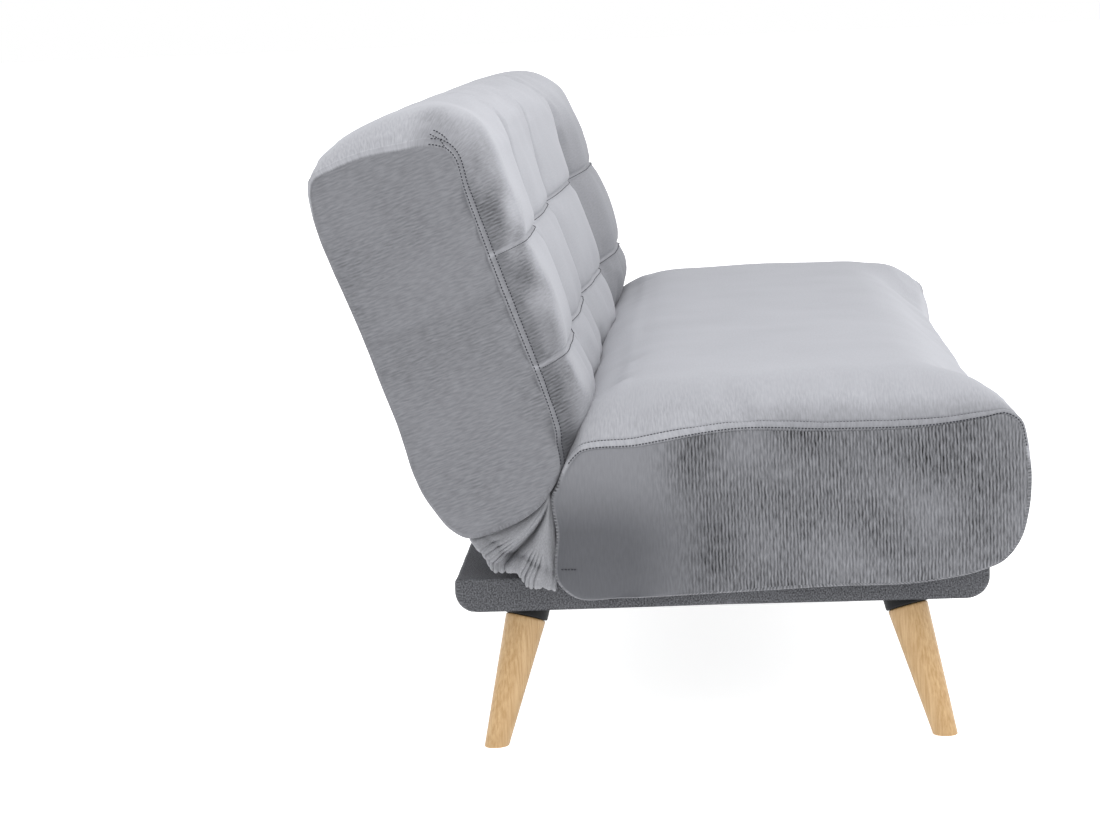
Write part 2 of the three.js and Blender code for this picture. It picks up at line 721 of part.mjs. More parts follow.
function seatFrame() {
  const frontInner = cavityFront + gap + railThickness;
  const rearInner = cavityRear - gap - railThickness;
  const heights = [seatRailUnder, seatRailTop];
  const across = seatRailInner - gap;
  const halfRail = railThickness / 2;
  const pieces = [
    pieceOf('seat_front_rail', block(-across, across, cavityFront + gap, frontInner, ...heights), pine),
    pieceOf('seat_rear_rail', block(-across, across, rearInner, cavityRear - gap, ...heights), pine),
    pieceOf('seat_centre_rail', block(-halfRail, halfRail, frontInner + gap, rearInner - gap,
      seatRailUnder + centreRailLift, seatRailTop), pine),
    pieceOf('seat_dust_cover', block(-across, across, frontInner + gap, rearInner - gap,
      seatRailUnder + dustCoverLift, seatRailUnder + dustCoverLift + dustClothThickness), blackCloth),
  ];
  for (const [side, sign] of sides) {
    const span = spanOn(sign, seatRailInner, seatRailOuter);
    const rail = block(...span, cavityFront + gap, cavityRear - gap, ...heights);
    pieces.push(pieceOf(`seat_end_rail_${side}`, rail, pine));
  }
  const place = (x0, x1, y0, y1, extra = 0) => (
    block(x0, x1, y0, y1, seatRailTop + gap - extra, seatRailTop + gap + webbingThickness + extra)
  );
  const net = strapNet(-seatRailOuter, seatRailOuter, cavityFront + gap, cavityRear - gap,
    seatStrapCount, seatLongStrapCount, place);
  pieces.push(pieceOf('seat_webbing', net, webbing));
  return pieces;
}

// Share of the full crown at a distance in from the end panel
const crownShare = (inset) => 1 - (1 - Math.min(1, inset / crownRun)) ** crownPower;

// Draws the end ring in towards its own middle, which rounds the end panel's edge
function drawnIn(ring, inset) {
  if (inset >= endRounding) return ring;
  const middle = [1, 2].map((axis) => ring.reduce((sum, point) => sum + point[axis], 0) / ring.length);
  return ring.map(([x, y, z]) => {
    const away = Math.hypot(y - middle[0], z - middle[1]);
    const keep = 1 - endRounding / away;
    return [x, middle[0] + (y - middle[0]) * keep, middle[1] + (z - middle[1]) * keep];
  });
}

// Seat cushion: crowned upholstered block, open underneath for its frame and the linkage
function seatCushion() {
  const sideHeight = seatSeamHeight - seatSkirtHeight;
  const insets = [0, endRounding, ...seatStationShares.map((share) => share * crownRun), halfWidth / 2];
  const leftHalf = insets.map((inset) => inset - halfWidth);
  const rightHalf = insets.map((inset) => halfWidth - inset).reverse();
  const xs = [...leftHalf, 0, ...rightHalf];
  const rings = xs.map((x) => {
    const inset = halfWidth - Math.abs(x);
    const rise = crownShare(inset) * seatCrown;
    const ring = seatOutlineShares.map(({ y, z, lift }) => (
      [x, seatRear - y * seatDepth + lift[0] * rise, seatSkirtHeight + z * sideHeight + lift[1] * rise]
    ));
    return drawnIn(ring, inset).reverse();
  });
  const inner = seatRailOuter + gap;
  const under = seatSkirtHeight - overrun;
  const roof = webbingTop + gap;
  const sideRoof = upperPinZ + linkEndRadius + linkRoofClearance;
  const slotFloor = pivotHeight - armBendDrop;
  const slotRoof = pivotHeight + armRoofClearance;
  const overBase = baseTop + seatSkirtClearance;
  const tools = [
    block(-inner, inner, cavityFront, cavityRear, under, roof),
    block(-halfBase - gap, halfBase + gap, seatFront - overrun, seatRear + overrun, under, overBase),
  ];
  for (const [, sign] of sides) {
    const span = spanOn(sign, inner - overrun, mechanismOuter);
    tools.push(block(...span, cavityFront, cavityRear, under, sideRoof));
    tools.push(block(...span, cavityRear - seatRearWall, seatRear + overrun, slotFloor, slotRoof));
  }
  return pieceOf('seat_cushion', cut(loft(rings), ...tools), lightFabric);
}

// Back frame, in the back's own axes: y rearward from the pivot and z up the back
function backFrame() {
  const rear = backRearDepth - panelThickness - gap;
  const front = rear - backRailDepth;
  const across = backRailInner - gap;
  const innerBottom = backFrameBottom + railThickness;
  const innerTop = backFrameTop - railThickness;
  const pieces = [
    pieceOf('back_bottom_rail', block(-across, across, front, rear, backFrameBottom, innerBottom), pine),
    pieceOf('back_top_rail', block(-across, across, front, rear, innerTop, backFrameTop), pine),
    pieceOf('back_centre_rail', block(-railThickness / 2, railThickness / 2, front, rear,
      innerBottom + gap, innerTop - gap), pine),
    pieceOf('back_rear_panel', block(-mechanismOuter + gap, mechanismOuter - gap, rear + gap, backRearDepth,
      backFrameBottom, backFrameTop), darkFabric),
  ];
  for (const [side, sign] of sides) {
    const span = spanOn(sign, backRailInner, backRailOuter);
    const rail = block(...span, front, rear, backFrameBottom, backFrameTop);
    pieces.push(pieceOf(`back_end_rail_${side}`, rail, pine));
  }
  const place = (x0, x1, z0, z1, extra = 0) => (
    block(x0, x1, front - gap - webbingThickness - extra, front - gap + extra, z0, z1)
  );
  const net = strapNet(-backRailOuter, backRailOuter, backFrameBottom, backFrameTop,
    backStrapCount, backLongStrapCount, place);
  pieces.push(pieceOf('back_webbing', net, webbing));
  return pieces;
}

// Back cushion: four crowned columns with channels between them, open at the rear for its frame
function backCushion() {
  const columnWidth = sofaWidth / backColumnCount;
  const xs = [-halfWidth, -halfWidth + endRounding];
  for (let column = 0; column < backColumnCount; column += 1) {
    for (const share of columnStationShares) {
      if (column > 0 || share > 0) xs.push(-halfWidth + (column + share) * columnWidth);
    }
  }
  xs.push(halfWidth - endRounding, halfWidth);
  const rings = xs.map((x) => {
    const inset = halfWidth - Math.abs(x);
    const column = ((x + halfWidth) / columnWidth) % 1;
    const hollow = channelDepthShare * Math.abs(2 * column - 1) ** channelPower;
    const ring = backOutlineShares.map(({ y, z, lift, on }) => {
      const fade = (channelFadeToShare - z) / (channelFadeToShare - channelFadeFromShare);
      const deep = on === 'front' ? hollow * Math.max(0, Math.min(1, fade)) : 0;
      const rise = backCrown * (inset < columnWidth / 2 ? crownShare(inset) : 1 - deep);
      const depth = y > 0 ? backRearDepth : backSideDepth;
      return [x, y * depth + lift[0] * rise, z * backHeight + lift[1] * rise];
    });
    return drawnIn(ring, inset);
  });
  const rear = backRearDepth - panelThickness - gap;
  const frontOfNet = rear - backRailDepth - webbingThickness - 2 * gap;
  const reach = armSlotMargin + hubRadius;
  const slot = armSlotShares.map(([y, z]) => [y * reach, z * reach]);
  const tools = [block(-mechanismOuter, mechanismOuter, frontOfNet, backRearDepth + overrun,
    backFrameBottom - gap, backFrameTop + gap)];
  for (const [, sign] of sides) {
    tools.push(slab(slot, ...spanOn(sign, mainPinInner - bracketSlack, mechanismOuter)));
  }
  return pieceOf('back_cushion', cut(loft(rings), ...tools), lightFabric);
}

// Gusset: a thin trough of gathered cloth from the seat's rear edge to the back's bottom edge
function gusset() {
  const seatEdge = seatRear + 2 * gap;
  const seatEdgeZ = baseTop + seatSkirtClearance;
  const lipInner = seatEdge + gussetThickness;
  const lipTop = seatEdgeZ + gussetLipHeight;
  const skirtDrop = seatEdgeZ - seatSkirtHeight;
  const placeOf = (shares, height) => shares.map(([along, up]) => (
    [seatEdge + along * gussetRun, seatEdgeZ + up * height]
  ));
  const outer = placeOf(gussetSheetShares, gussetRise);
  const inner = outer.slice(1).map(([y, z]) => [y - gussetThickness, z + gussetThickness]).reverse();
  const lip = [[lipInner, seatEdgeZ + gussetThickness], [lipInner, lipTop], [seatEdge, lipTop]];
  const skirt = placeOf(gussetSkirtShares, -skirtDrop);
  const crest = placeOf(gussetCrestShares, gussetLipHeight);
  const sheet = [...outer, ...inner, ...lip];
  const web = [...skirt, ...outer.slice(2), ...crest, [lipInner, lipTop], [seatEdge, lipTop]];
  const outerEnd = halfWidth - gussetEndInset;
  let trough = slab(sheet, -outerEnd, outerEnd);
  for (const [, sign] of sides) {
    trough = join(trough, slab(web, ...spanOn(sign, outerEnd - gussetEndThickness, outerEnd)));
  }
  return pieceOf('hinge_gusset', trough, darkFabric);
}

// The whole sofa bed
const sofa = new THREE.Group();
const baseGroup = new THREE.Group();
const seatGroup = new THREE.Group();
const backGroup = new THREE.Group();
backGroup.position.set(0, pivotY, pivotHeight);
backGroup.rotation.x = -backLean;
sofa.add(baseGroup, seatGroup, backGroup);

baseGroup.add(...baseFrame(), baseCover(), baseDustCover(), ...buffers());
for (const corner of legCorners()) {
  baseGroup.add(...legPieces(corner));
}
seatGroup.add(...seatFrame(), seatCushion(), gusset());
backGroup.add(...backFrame(), backCushion());
for (const [side, sign] of sides) {
  baseGroup.add(baseBracket(side, sign));
  for (const end of Object.keys(lowerPins)) {
    seatGroup.add(shiftLink(end, side, sign));
  }
  seatGroup.add(seatArm(side, sign), mainPivot(side, sign), pawl(side, sign));
  backGroup.add(backArm(side, sign));
}

export default sofa;
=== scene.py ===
import math

import bpy
import numpy as np
from mathutils import Matrix, Vector


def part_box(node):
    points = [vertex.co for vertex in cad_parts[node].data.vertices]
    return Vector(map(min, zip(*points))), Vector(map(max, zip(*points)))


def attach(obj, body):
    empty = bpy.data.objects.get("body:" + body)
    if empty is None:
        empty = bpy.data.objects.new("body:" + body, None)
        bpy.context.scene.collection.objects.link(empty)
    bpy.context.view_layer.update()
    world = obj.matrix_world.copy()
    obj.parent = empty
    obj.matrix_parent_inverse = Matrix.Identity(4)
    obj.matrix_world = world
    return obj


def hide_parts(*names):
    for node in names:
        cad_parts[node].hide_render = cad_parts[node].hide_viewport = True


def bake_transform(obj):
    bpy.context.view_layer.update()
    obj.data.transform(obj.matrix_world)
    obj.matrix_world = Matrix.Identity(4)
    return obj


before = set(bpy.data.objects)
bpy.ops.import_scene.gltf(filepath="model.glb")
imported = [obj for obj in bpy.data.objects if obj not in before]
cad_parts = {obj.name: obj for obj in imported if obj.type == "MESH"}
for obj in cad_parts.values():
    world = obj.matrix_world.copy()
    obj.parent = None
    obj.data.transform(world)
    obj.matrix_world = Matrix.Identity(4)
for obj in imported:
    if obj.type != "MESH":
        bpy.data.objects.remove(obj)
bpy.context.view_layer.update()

scene = bpy.context.scene
scene.view_settings.view_transform = "Standard"

# Click clack sofa bed, metres, +Z up, front towards -Y.
# The seat, the back and the base are padded shells on grids: one way round the outline, one way along X.


# Camera, for an image of 1100 x 824, from the -X end of the sofa
photoView = {
    "place": (-4.7614, -0.0544, 0.9618),
    "lens": 101.45,
    "yawDeg": 3.093,
    "pitchDeg": 7.638,
    "rollDeg": 2.27,
    "sensorMm": 36,
    "clipEnd": 200,
}


def placeCamera():
    yaw, pitch, roll = (math.radians(photoView[key]) for key in ("yawDeg", "pitchDeg", "rollDeg"))
    forward = Vector((math.cos(yaw) * math.cos(pitch), math.sin(yaw) * math.cos(pitch), -math.sin(pitch)))
    level = Vector((math.sin(yaw), -math.cos(yaw), 0))
    down = forward.cross(level)
    right = level * math.cos(roll) + down * math.sin(roll)
    up = level * math.sin(roll) - down * math.cos(roll)
    turn = Matrix((right, up, -forward)).transposed().to_4x4()
    camera = bpy.data.objects.new("photoCamera", bpy.data.cameras.new("photoCamera"))
    camera.data.lens = photoView["lens"]
    camera.data.sensor_width = photoView["sensorMm"]
    camera.data.clip_end = photoView["clipEnd"]
    camera.matrix_world = Matrix.Translation(photoView["place"]) @ turn
    scene.collection.objects.link(camera)
    scene.camera = camera


placeCamera()
print("camera placed")


# Studio: a pale floor, an even white room and wide soft lamps
studio = {
    "floorHex": "#FAFAFA",
    "floorDimming": 0.985,  # of the floor's faint clouds
    "floorHalf": 60,
    "floorGlow": 0.8,  # white floor lit from beneath, which keeps its shadows pale
    "roomStrength": 1.0,
    "lamps": [
        {"name": "overhead", "place": (-1.1, -0.5, 3.3), "aim": (-0.3, 0, 0.3), "size": (4, 3.5), "watts": 88},
        {"name": "front", "place": (-1.6, -4.2, 2.2), "aim": (0, 0, 0.45), "size": (2.5, 2), "watts": 20},
    ],
}


def toLinear(code):  # sRGB hex such as "#C0C2C8" to linear red, green and blue
    parts = np.array([int(code[at:at + 2], 16) for at in (1, 3, 5)]) / 255
    return tuple(np.where(parts <= 0.04045, parts / 12.92, ((parts + 0.055) / 1.055) ** 2.4))


def addNode(tree, kind, settings, inputs):  # one shader node with its settings, values and links
    node = tree.nodes.new("ShaderNode" + kind)
    for name, value in settings.items():
        setattr(node, name, value)
    for name, value in inputs.items():
        if isinstance(value, bpy.types.NodeSocket):
            tree.links.new(value, node.inputs[name])
        else:
            node.inputs[name].default_value = value
    return node


def newMaterial(name):
    material = bpy.data.materials.new(name)
    material.use_nodes = True
    tree = material.node_tree
    tree.nodes.clear()
    return material, tree


def finishMaterial(tree, shader):
    output = tree.nodes.new("ShaderNodeOutputMaterial")
    tree.links.new(shader.outputs[0], output.inputs["Surface"])


def setUpStudio():
    room = bpy.data.worlds.new("whiteRoom")
    room.use_nodes = True
    room.node_tree.nodes["Background"].inputs["Color"].default_value = (1, 1, 1, 1)
    room.node_tree.nodes["Background"].inputs["Strength"].default_value = studio["roomStrength"]
    scene.world = room
    for lamp in studio["lamps"]:
        light = bpy.data.lights.new(lamp["name"], "AREA")
        light.shape = "RECTANGLE"
        light.size, light.size_y = lamp["size"]
        light.energy = lamp["watts"]
        holder = bpy.data.objects.new(lamp["name"], light)
        holder.location = lamp["place"]
        holder.rotation_euler = (Vector(lamp["aim"]) - holder.location).to_track_quat("-Z", "Y").to_euler()
        scene.collection.objects.link(holder)
    material, tree = newMaterial("mattStudioPaint")
    place = addNode(tree, "TexCoord", {}, {})
    cloud = addNode(tree, "TexNoise", {}, {"Vector": place.outputs["Object"], "Scale": 0.6, "Detail": 2})
    pale = toLinear(studio["floorHex"])
    tone = addNode(tree, "Mix", {"data_type": "RGBA"}, {
        0: cloud.outputs[0],
        6: (*pale, 1),
        7: (*[part * studio["floorDimming"] for part in pale], 1),
    })
    shader = addNode(tree, "BsdfPrincipled", {}, {
        "Base Color": tone.outputs[2], "Roughness": 0.9, "Emission Color": tone.outputs[2],
    })
    shader.inputs["Specular IOR Level"].default_value = 0.1
    shader.inputs["Emission Strength"].default_value = studio["floorGlow"]
    finishMaterial(tree, shader)
    mesh = bpy.data.meshes.new("studioFloor")
    corners = [(x * studio["floorHalf"], y * studio["floorHalf"], 0) for x, y in ((-1, -1), (1, -1), (1, 1), (-1, 1))]
    mesh.from_pydata(corners, [], [(0, 1, 2, 3)])
    floor = bpy.data.objects.new("studioFloor", mesh)
    mesh.materials.append(material)
    scene.collection.objects.link(floor)


setUpStudio()
print("studio lit")


# Cloths, laid out by the piece's own map in metres: its first direction runs along a rib, its second across the ribs.
# The point attribute ribs says how far the ribs stand out of the pile; the painted shade attribute says how far the
# colour is darkened from its open towards its shaded colour in place of real shade, both 0 to 1.
clothLooks = {
    # Cut pile chenille of both cushions: soft grey; its shaded colour is painted shade, laid on where the cushions
    # stand in shade.
    # Its ribs stand about 4.3 mm apart
    "chenille": {
        "openHex": "#98999E", "paintedShadeHex": "#505155", "ribMm": 4.3, "ribShare": 0.6, "dashMm": (13, 2.4),
        "dashShare": 0.55, "depth": (0.12, 0.92), "mottleMm": 110, "mottle": 0.05, "sheen": 0.25, "reliefMm": 0.9,
    },
    # Plain woven polyester of the gusset, finer and flatter than the chenille
    "gussetWeave": {
        "openHex": "#86878B", "paintedShadeHex": "#6C6D71", "ribMm": 1.6, "ribShare": 0, "dashMm": (3, 1.4),
        "dashShare": 1, "depth": (0.25, 0.5), "mottleMm": 40, "mottle": 0.12, "sheen": 0.2, "reliefMm": 0.3,
    },
    # Flecked tweed of the base, darker, with salt and pepper threads
    "fleckedTweed": {
        "openHex": "#626367", "paintedShadeHex": "#4A4B4E", "ribMm": 2, "ribShare": 0, "dashMm": (2.2, 1.9),
        "dashShare": 1, "depth": (0.7, 0.7), "mottleMm": 70, "mottle": 0.12, "sheen": 0.15, "reliefMm": 0.5,
    },
    # Sewing thread, a shade darker than the cloth and pulled down into it
    "spunThread": {
        "openHex": "#34353A", "paintedShadeHex": "#34353A", "ribMm": 0.6, "ribShare": 0.5, "dashMm": (2, 0.5),
        "dashShare": 0.5, "depth": (0.4, 0.4), "mottleMm": 50, "mottle": 0.05, "sheen": 0.05, "reliefMm": 0.1,
    },
}


def clothMaterial(name):
    # pattern = ribs x their strength x ribShare + streaks x dashShare
    # colour = pile x (1 - depth x pattern - mottle x cloud), the pile going from open to its shaded colour by the
    # painted shade attribute, and the depth from its first to its second value by the ribs attribute
    look = clothLooks[name]
    material, tree = newMaterial(name)
    laid = addNode(tree, "UVMap", {"uv_map": "cloth"}, {})
    ribs = addNode(tree, "Attribute", {"attribute_name": "ribs"}, {})
    paintedShade = addNode(tree, "Attribute", {"attribute_name": "paintedShade"}, {})
    wander = addNode(tree, "TexNoise", {}, {"Vector": laid.outputs["UV"], "Scale": 110, "Detail": 3})
    parts = addNode(tree, "SeparateXYZ", {}, {"Vector": laid.outputs["UV"]})
    turns = addNode(tree, "Math", {"operation": "MULTIPLY"}, {
        0: parts.outputs["Y"], 1: 2 * math.pi * 1000 / look["ribMm"],
    })
    drift = addNode(tree, "Math", {"operation": "MULTIPLY_ADD"}, {0: wander.outputs[0], 1: 5.0, 2: turns.outputs[0]})
    wave = addNode(tree, "Math", {"operation": "SINE"}, {0: drift.outputs[0]})
    ribTone = addNode(tree, "MapRange", {}, {
        "Value": wave.outputs[0], "From Min": -1, "From Max": 1, "To Max": look["ribShare"],
    })
    strength = addNode(tree, "MapRange", {}, {"Value": ribs.outputs["Fac"], "From Min": 0.3, "From Max": 0.9})
    rib = addNode(tree, "Math", {"operation": "MULTIPLY"}, {0: ribTone.outputs[0], 1: strength.outputs[0]})
    stretch = addNode(tree, "Mapping", {}, {
        "Vector": laid.outputs["UV"], "Scale": (1000 / look["dashMm"][0], 1000 / look["dashMm"][1], 1),
    })
    dash = addNode(tree, "TexNoise", {}, {"Vector": stretch.outputs[0], "Scale": 1, "Detail": 3})
    dashTone = addNode(tree, "MapRange", {}, {"Value": dash.outputs[0], "From Min": 0.34, "From Max": 0.66})
    pattern = addNode(tree, "Math", {"operation": "MULTIPLY_ADD"}, {
        0: dashTone.outputs[0], 1: look["dashShare"], 2: rib.outputs[0],
    })
    depth = addNode(tree, "MapRange", {}, {
        "Value": ribs.outputs["Fac"], "To Min": look["depth"][0], "To Max": look["depth"][1],
    })
    worn = addNode(tree, "Math", {"operation": "MULTIPLY"}, {0: pattern.outputs[0], 1: depth.outputs[0]})
    body = addNode(tree, "TexCoord", {}, {})
    cloud = addNode(tree, "TexNoise", {}, {
        "Vector": body.outputs["Object"], "Scale": 1000 / look["mottleMm"], "Detail": 3,
    })
    clouded = addNode(tree, "MapRange", {}, {
        "Value": cloud.outputs[0], "From Min": 0.3, "From Max": 0.7, "To Max": look["mottle"],
    })
    dark = addNode(tree, "Math", {"operation": "ADD"}, {0: worn.outputs[0], 1: clouded.outputs[0]})
    light = addNode(tree, "Math", {"operation": "SUBTRACT"}, {0: 1.0, 1: dark.outputs[0]})
    # painted shade: the pile colour goes from the open to the shaded colour by the painted shade attribute
    pileAndPaintedShade = addNode(tree, "Mix", {"data_type": "RGBA"}, {
        0: paintedShade.outputs["Fac"], 6: (*toLinear(look["openHex"]), 1), 7: (*toLinear(look["paintedShadeHex"]), 1),
    })
    colour = addNode(tree, "VectorMath", {"operation": "SCALE"}, {0: pileAndPaintedShade.outputs[2], "Scale": light.outputs[0]})
    relief = addNode(tree, "Bump", {}, {
        "Height": light.outputs[0], "Distance": look["reliefMm"] / 1000, "Strength": 0.7,
    })
    shader = addNode(tree, "BsdfPrincipled", {}, {
        "Base Color": colour.outputs[0], "Normal": relief.outputs[0], "Roughness": 0.95,
        "Specular IOR Level": 0.2, "Sheen Weight": look["sheen"], "Sheen Roughness": 0.5,
    })
    shader.inputs["Sheen Tint"].default_value = (*toLinear("#E6E7EE"), 1)
    finishMaterial(tree, shader)
    return material


cloths = {name: clothMaterial(name) for name in clothLooks}
print("cloths woven")


# Shapes shared by the pieces
def smoothStep(value, low, high):
    share = np.clip((value - low) / (high - low), 0, 1)
    return share * share * (3 - 2 * share)


def ridge(distance, width):  # a bell of height 1
    return np.exp(-(distance / width) ** 2)


def throughRows(knots, rows, places, closed=False):
    # smooth curve through the rows; the slope at a row is that of the parabola through it and its neighbours
    knots, rows = np.asarray(knots, float), np.asarray(rows, float)
    if closed:  # knots hold one more place than rows: the way back to the first row
        span = knots[-1]
        rows = np.concatenate([rows[-2:], rows, rows[:3]])
        knots = np.concatenate([knots[-3:-1] - span, knots[:-1], span + knots[:3]])
    shape = (-1,) + (1,) * (rows.ndim - 1)
    step = np.diff(knots).reshape(shape)
    slope = np.diff(rows, axis=0) / step
    inner = (slope[:-1] * step[1:] + slope[1:] * step[:-1]) / (step[:-1] + step[1:])
    tangent = np.concatenate([slope[:1], inner, slope[-1:]])
    at = np.clip(np.searchsorted(knots, places, side="right") - 1, 0, len(step) - 1)
    width = step[at]
    share = (places - knots[at]).reshape(shape) / width
    rest = 1 - share
    value = rows[at] * (1 + 2 * share) * rest ** 2 + rows[at + 1] * share ** 2 * (3 - 2 * share)
    return value + width * share * rest * (tangent[at] * rest - tangent[at + 1] * share)


def crowded(low, high, count, spots, reach, extra):
    # places from low to high, closer together near each spot
    fine = np.linspace(low, high, 6000)
    weight = 1 + extra * ridge(fine[:, None] - np.asarray(spots), reach).sum(1)
    total = np.concatenate([[0], np.cumsum((weight[1:] + weight[:-1]) / 2)])
    return np.interp(np.linspace(0, total[-1], count), total, fine)


def softNoise(points, length, seed):
    # smooth unevenness about -1 to 1: a sum of twelve waves of about that length in seeded directions
    dice = np.random.default_rng(seed)
    ways = dice.normal(size=(12, 3))
    ways /= np.linalg.norm(ways, axis=1, keepdims=True)
    turns = 2 * np.pi / (length * dice.uniform(0.6, 1.6, 12))
    return np.sin(points @ (ways * turns[:, None]).T + dice.uniform(0, 6.28, 12)).sum(-1) / 3.4


def gridNormals(points):  # unit normals of rings x places x 3, each ring closed
    around = np.roll(points, -1, 1) - np.roll(points, 1, 1)
    along = np.gradient(points, axis=0)
    normal = np.cross(around, along)
    length = np.linalg.norm(normal, axis=2, keepdims=True)
    return normal / np.maximum(length, 1e-12)


def shellFaces(ringCount, placeCount):
    # first and last rings are single points; between them quads, at each end a fan of triangles
    at = np.arange(placeCount)
    following = (at + 1) % placeCount
    last = 1 + (ringCount - 2) * placeCount
    starts = 1 + np.arange(ringCount - 3)[:, None] * placeCount
    quads = np.stack([starts + at, starts + following, starts + placeCount + following, starts + placeCount + at], 2)
    first = np.stack([np.zeros_like(at), 1 + following, 1 + at], 1)
    lastStart = last - placeCount
    final = np.stack([np.full_like(at, last), lastStart + at, lastStart + following], 1)
    return first, quads, final


def shellValues(grid):  # one value for each vertex of a closed shell
    return np.concatenate([grid[0, :1], grid[1:-1].reshape(-1, *grid.shape[2:]), grid[-1, :1]])


def clothMesh(name, vertices, faces, laid, material):  # laid is the map at every corner of every face
    mesh = bpy.data.meshes.new(name)
    mesh.from_pydata(vertices, [], faces)
    mesh.uv_layers.new(name="cloth").uv.foreach_set("vector", laid.astype(np.float32).ravel())
    mesh.materials.append(material)
    mesh.polygons.foreach_set("use_smooth", np.ones(len(mesh.polygons), bool))
    return mesh


def closedShell(name, points, isPanel, panelMap, sleeveMap, material, pileAndPaintedShade=None):
    # a closed shell of rings; isPanel says which bands between rings are end panels, with a map of their own
    first, quads, final = shellFaces(*points.shape[:2])
    vertices = shellValues(points)
    panel = np.concatenate([panelMap, panelMap[:, :1]], 1)
    laid = np.where(isPanel[:, None, None, None], panelCorners(panel), panelCorners(sleeveMap))
    corners = np.concatenate([
        laid[0][:, [0, 2, 3]].reshape(-1, 2), laid[1:-1].reshape(-1, 2), laid[-1][:, [3, 0, 1]].reshape(-1, 2),
    ])
    faces = [*first.tolist(), *quads.reshape(-1, 4).tolist(), *final.tolist()]
    mesh = clothMesh(name, vertices, faces, corners, material)
    # each field of ribs and painted shade becomes a point attribute
    for key, field in (pileAndPaintedShade or {}).items():
        mesh.attributes.new(key, "FLOAT", "POINT").data.foreach_set("value", shellValues(field).astype(np.float32))
    if signedVolume(vertices, first, quads, final) < 0:
        mesh.flip_normals()
    return addPiece(name, mesh)


def panelCorners(laid):  # the map at the four corners of every face, from a map of rings x (places + 1)
    return np.stack([laid[:-1, :-1], laid[:-1, 1:], laid[1:, 1:], laid[1:, :-1]], 2)


def signedVolume(vertices, *faceSets):
    total = 0
    for faces in faceSets:
        corner = vertices[faces.reshape(-1, faces.shape[-1])]
        for at in range(1, corner.shape[1] - 1):
            total += np.einsum("ij,ij->i", corner[:, 0], np.cross(corner[:, at], corner[:, at + 1])).sum()
    return total / 6


def addPiece(name, mesh):
    mesh.validate(clean_customdata=False)
    piece = bpy.data.objects.new(name, mesh)
    scene.collection.objects.link(piece)
    return piece


def chordPlaces(points):  # distance along a line of points, from 0
    return np.concatenate([[0], np.cumsum(np.linalg.norm(np.diff(points, axis=0), axis=1))])


trialCloth = {"quality": 6, "mass": 0.3, "frames": 20}


def inflated(points, held, settings):
    # cloth simulation of a coarse shell under inner pressure, its held points staying; gives how far each moves
    ringCount, placeCount = points.shape[:2]
    first, quads, final = shellFaces(ringCount, placeCount)
    vertices = shellValues(points)
    mesh = bpy.data.meshes.new("clothTrial")
    mesh.from_pydata(vertices, [], [*first.tolist(), *quads.reshape(-1, 4).tolist(), *final.tolist()])
    if signedVolume(vertices, first, quads, final) < 0:
        mesh.flip_normals()
    trial = addPiece("clothTrial", mesh)
    group = trial.vertex_groups.new(name="held")
    pins = np.round(shellValues(held), 2)
    for level in np.unique(pins[pins > 0]):
        group.add(np.flatnonzero(pins == level).tolist(), float(level), "REPLACE")
    cloth = trial.modifiers.new("cloth", "CLOTH")
    cloth.settings.quality = trialCloth["quality"]
    cloth.settings.mass = trialCloth["mass"]
    cloth.settings.tension_stiffness = settings["tension"]
    cloth.settings.compression_stiffness = settings["tension"]
    cloth.settings.bending_stiffness = settings["bending"]
    cloth.settings.shrink_min = settings["slack"]
    cloth.settings.use_pressure = True
    cloth.settings.uniform_pressure_force = settings["pressure"]
    cloth.settings.vertex_group_mass = "held"
    cloth.settings.effector_weights.gravity = 0
    cloth.collision_settings.use_collision = False
    for count in range(trialCloth["frames"]):
        scene.frame_set(count + 1)
    shown = trial.evaluated_get(bpy.context.evaluated_depsgraph_get())
    moved = np.empty(len(vertices) * 3, np.float32)
    shown.data.vertices.foreach_get("co", moved)
    scene.frame_set(1)
    bpy.data.objects.remove(trial)
    bpy.data.meshes.remove(mesh)
    shift = moved.reshape(-1, 3) - vertices
    length = np.linalg.norm(shift, axis=1, keepdims=True)
    shift *= np.minimum(1, settings["cap"] / np.maximum(length, 1e-9))
    inner = shift[1:-1].reshape(ringCount - 2, placeCount, 3)
    ends = [np.broadcast_to(shift[at], (1, placeCount, 3)) for at in (0, -1)]
    return np.concatenate([ends[0], inner, ends[1]])


# Both cushions: end panels are shrunken copies of the end outline, the sleeve runs between them.
# A ring's place along the piece is its X on the sleeve, and past the ends one metre for the whole panel.
panelShares = np.array([0.008, 0.018, 0.032, 0.055, 0.09, 0.14, 0.21, 0.3, 0.4, 0.52, 0.65, 0.8, 0.92, 1])
bulgePower = 3.2


def ringPlaces(xs):
    end = xs[-1]
    return np.concatenate([-(end + panelShares[::-1]), xs, end + panelShares])


def panelled(outline, places, shape):
    # rounds the corner between sleeve and panel: a quarter circle draws each end ring in.
    # Then each panel ring is the end outline drawn towards its middle, bulging out as 1 - (1 - share) to a power
    radius, endX = shape["cornerRadius"], shape["halfWidth"]
    inset = np.clip(endX - np.abs(places), 0, radius)
    drawn = radius - np.sqrt(np.maximum(radius ** 2 - (radius - inset) ** 2, 0))
    away = outline - outline.mean(1, keepdims=True)
    away[..., 0] = 0
    length = np.linalg.norm(away, axis=2, keepdims=True)
    rings = outline - away / np.maximum(length, 1e-9) * drawn[:, None, None]
    middle = rings.mean((0, 1))[1:]
    depth = np.clip(np.abs(places) - endX, 0, 1)[:, None]
    rings[..., 1:] = middle + (rings[..., 1:] - middle) * (1 - depth[..., None])
    rings[..., 0] = np.sign(places)[:, None] * (np.minimum(np.abs(places), endX)[:, None]
        + shape["panelBulge"] * (1 - (1 - depth) ** bulgePower))
    return rings


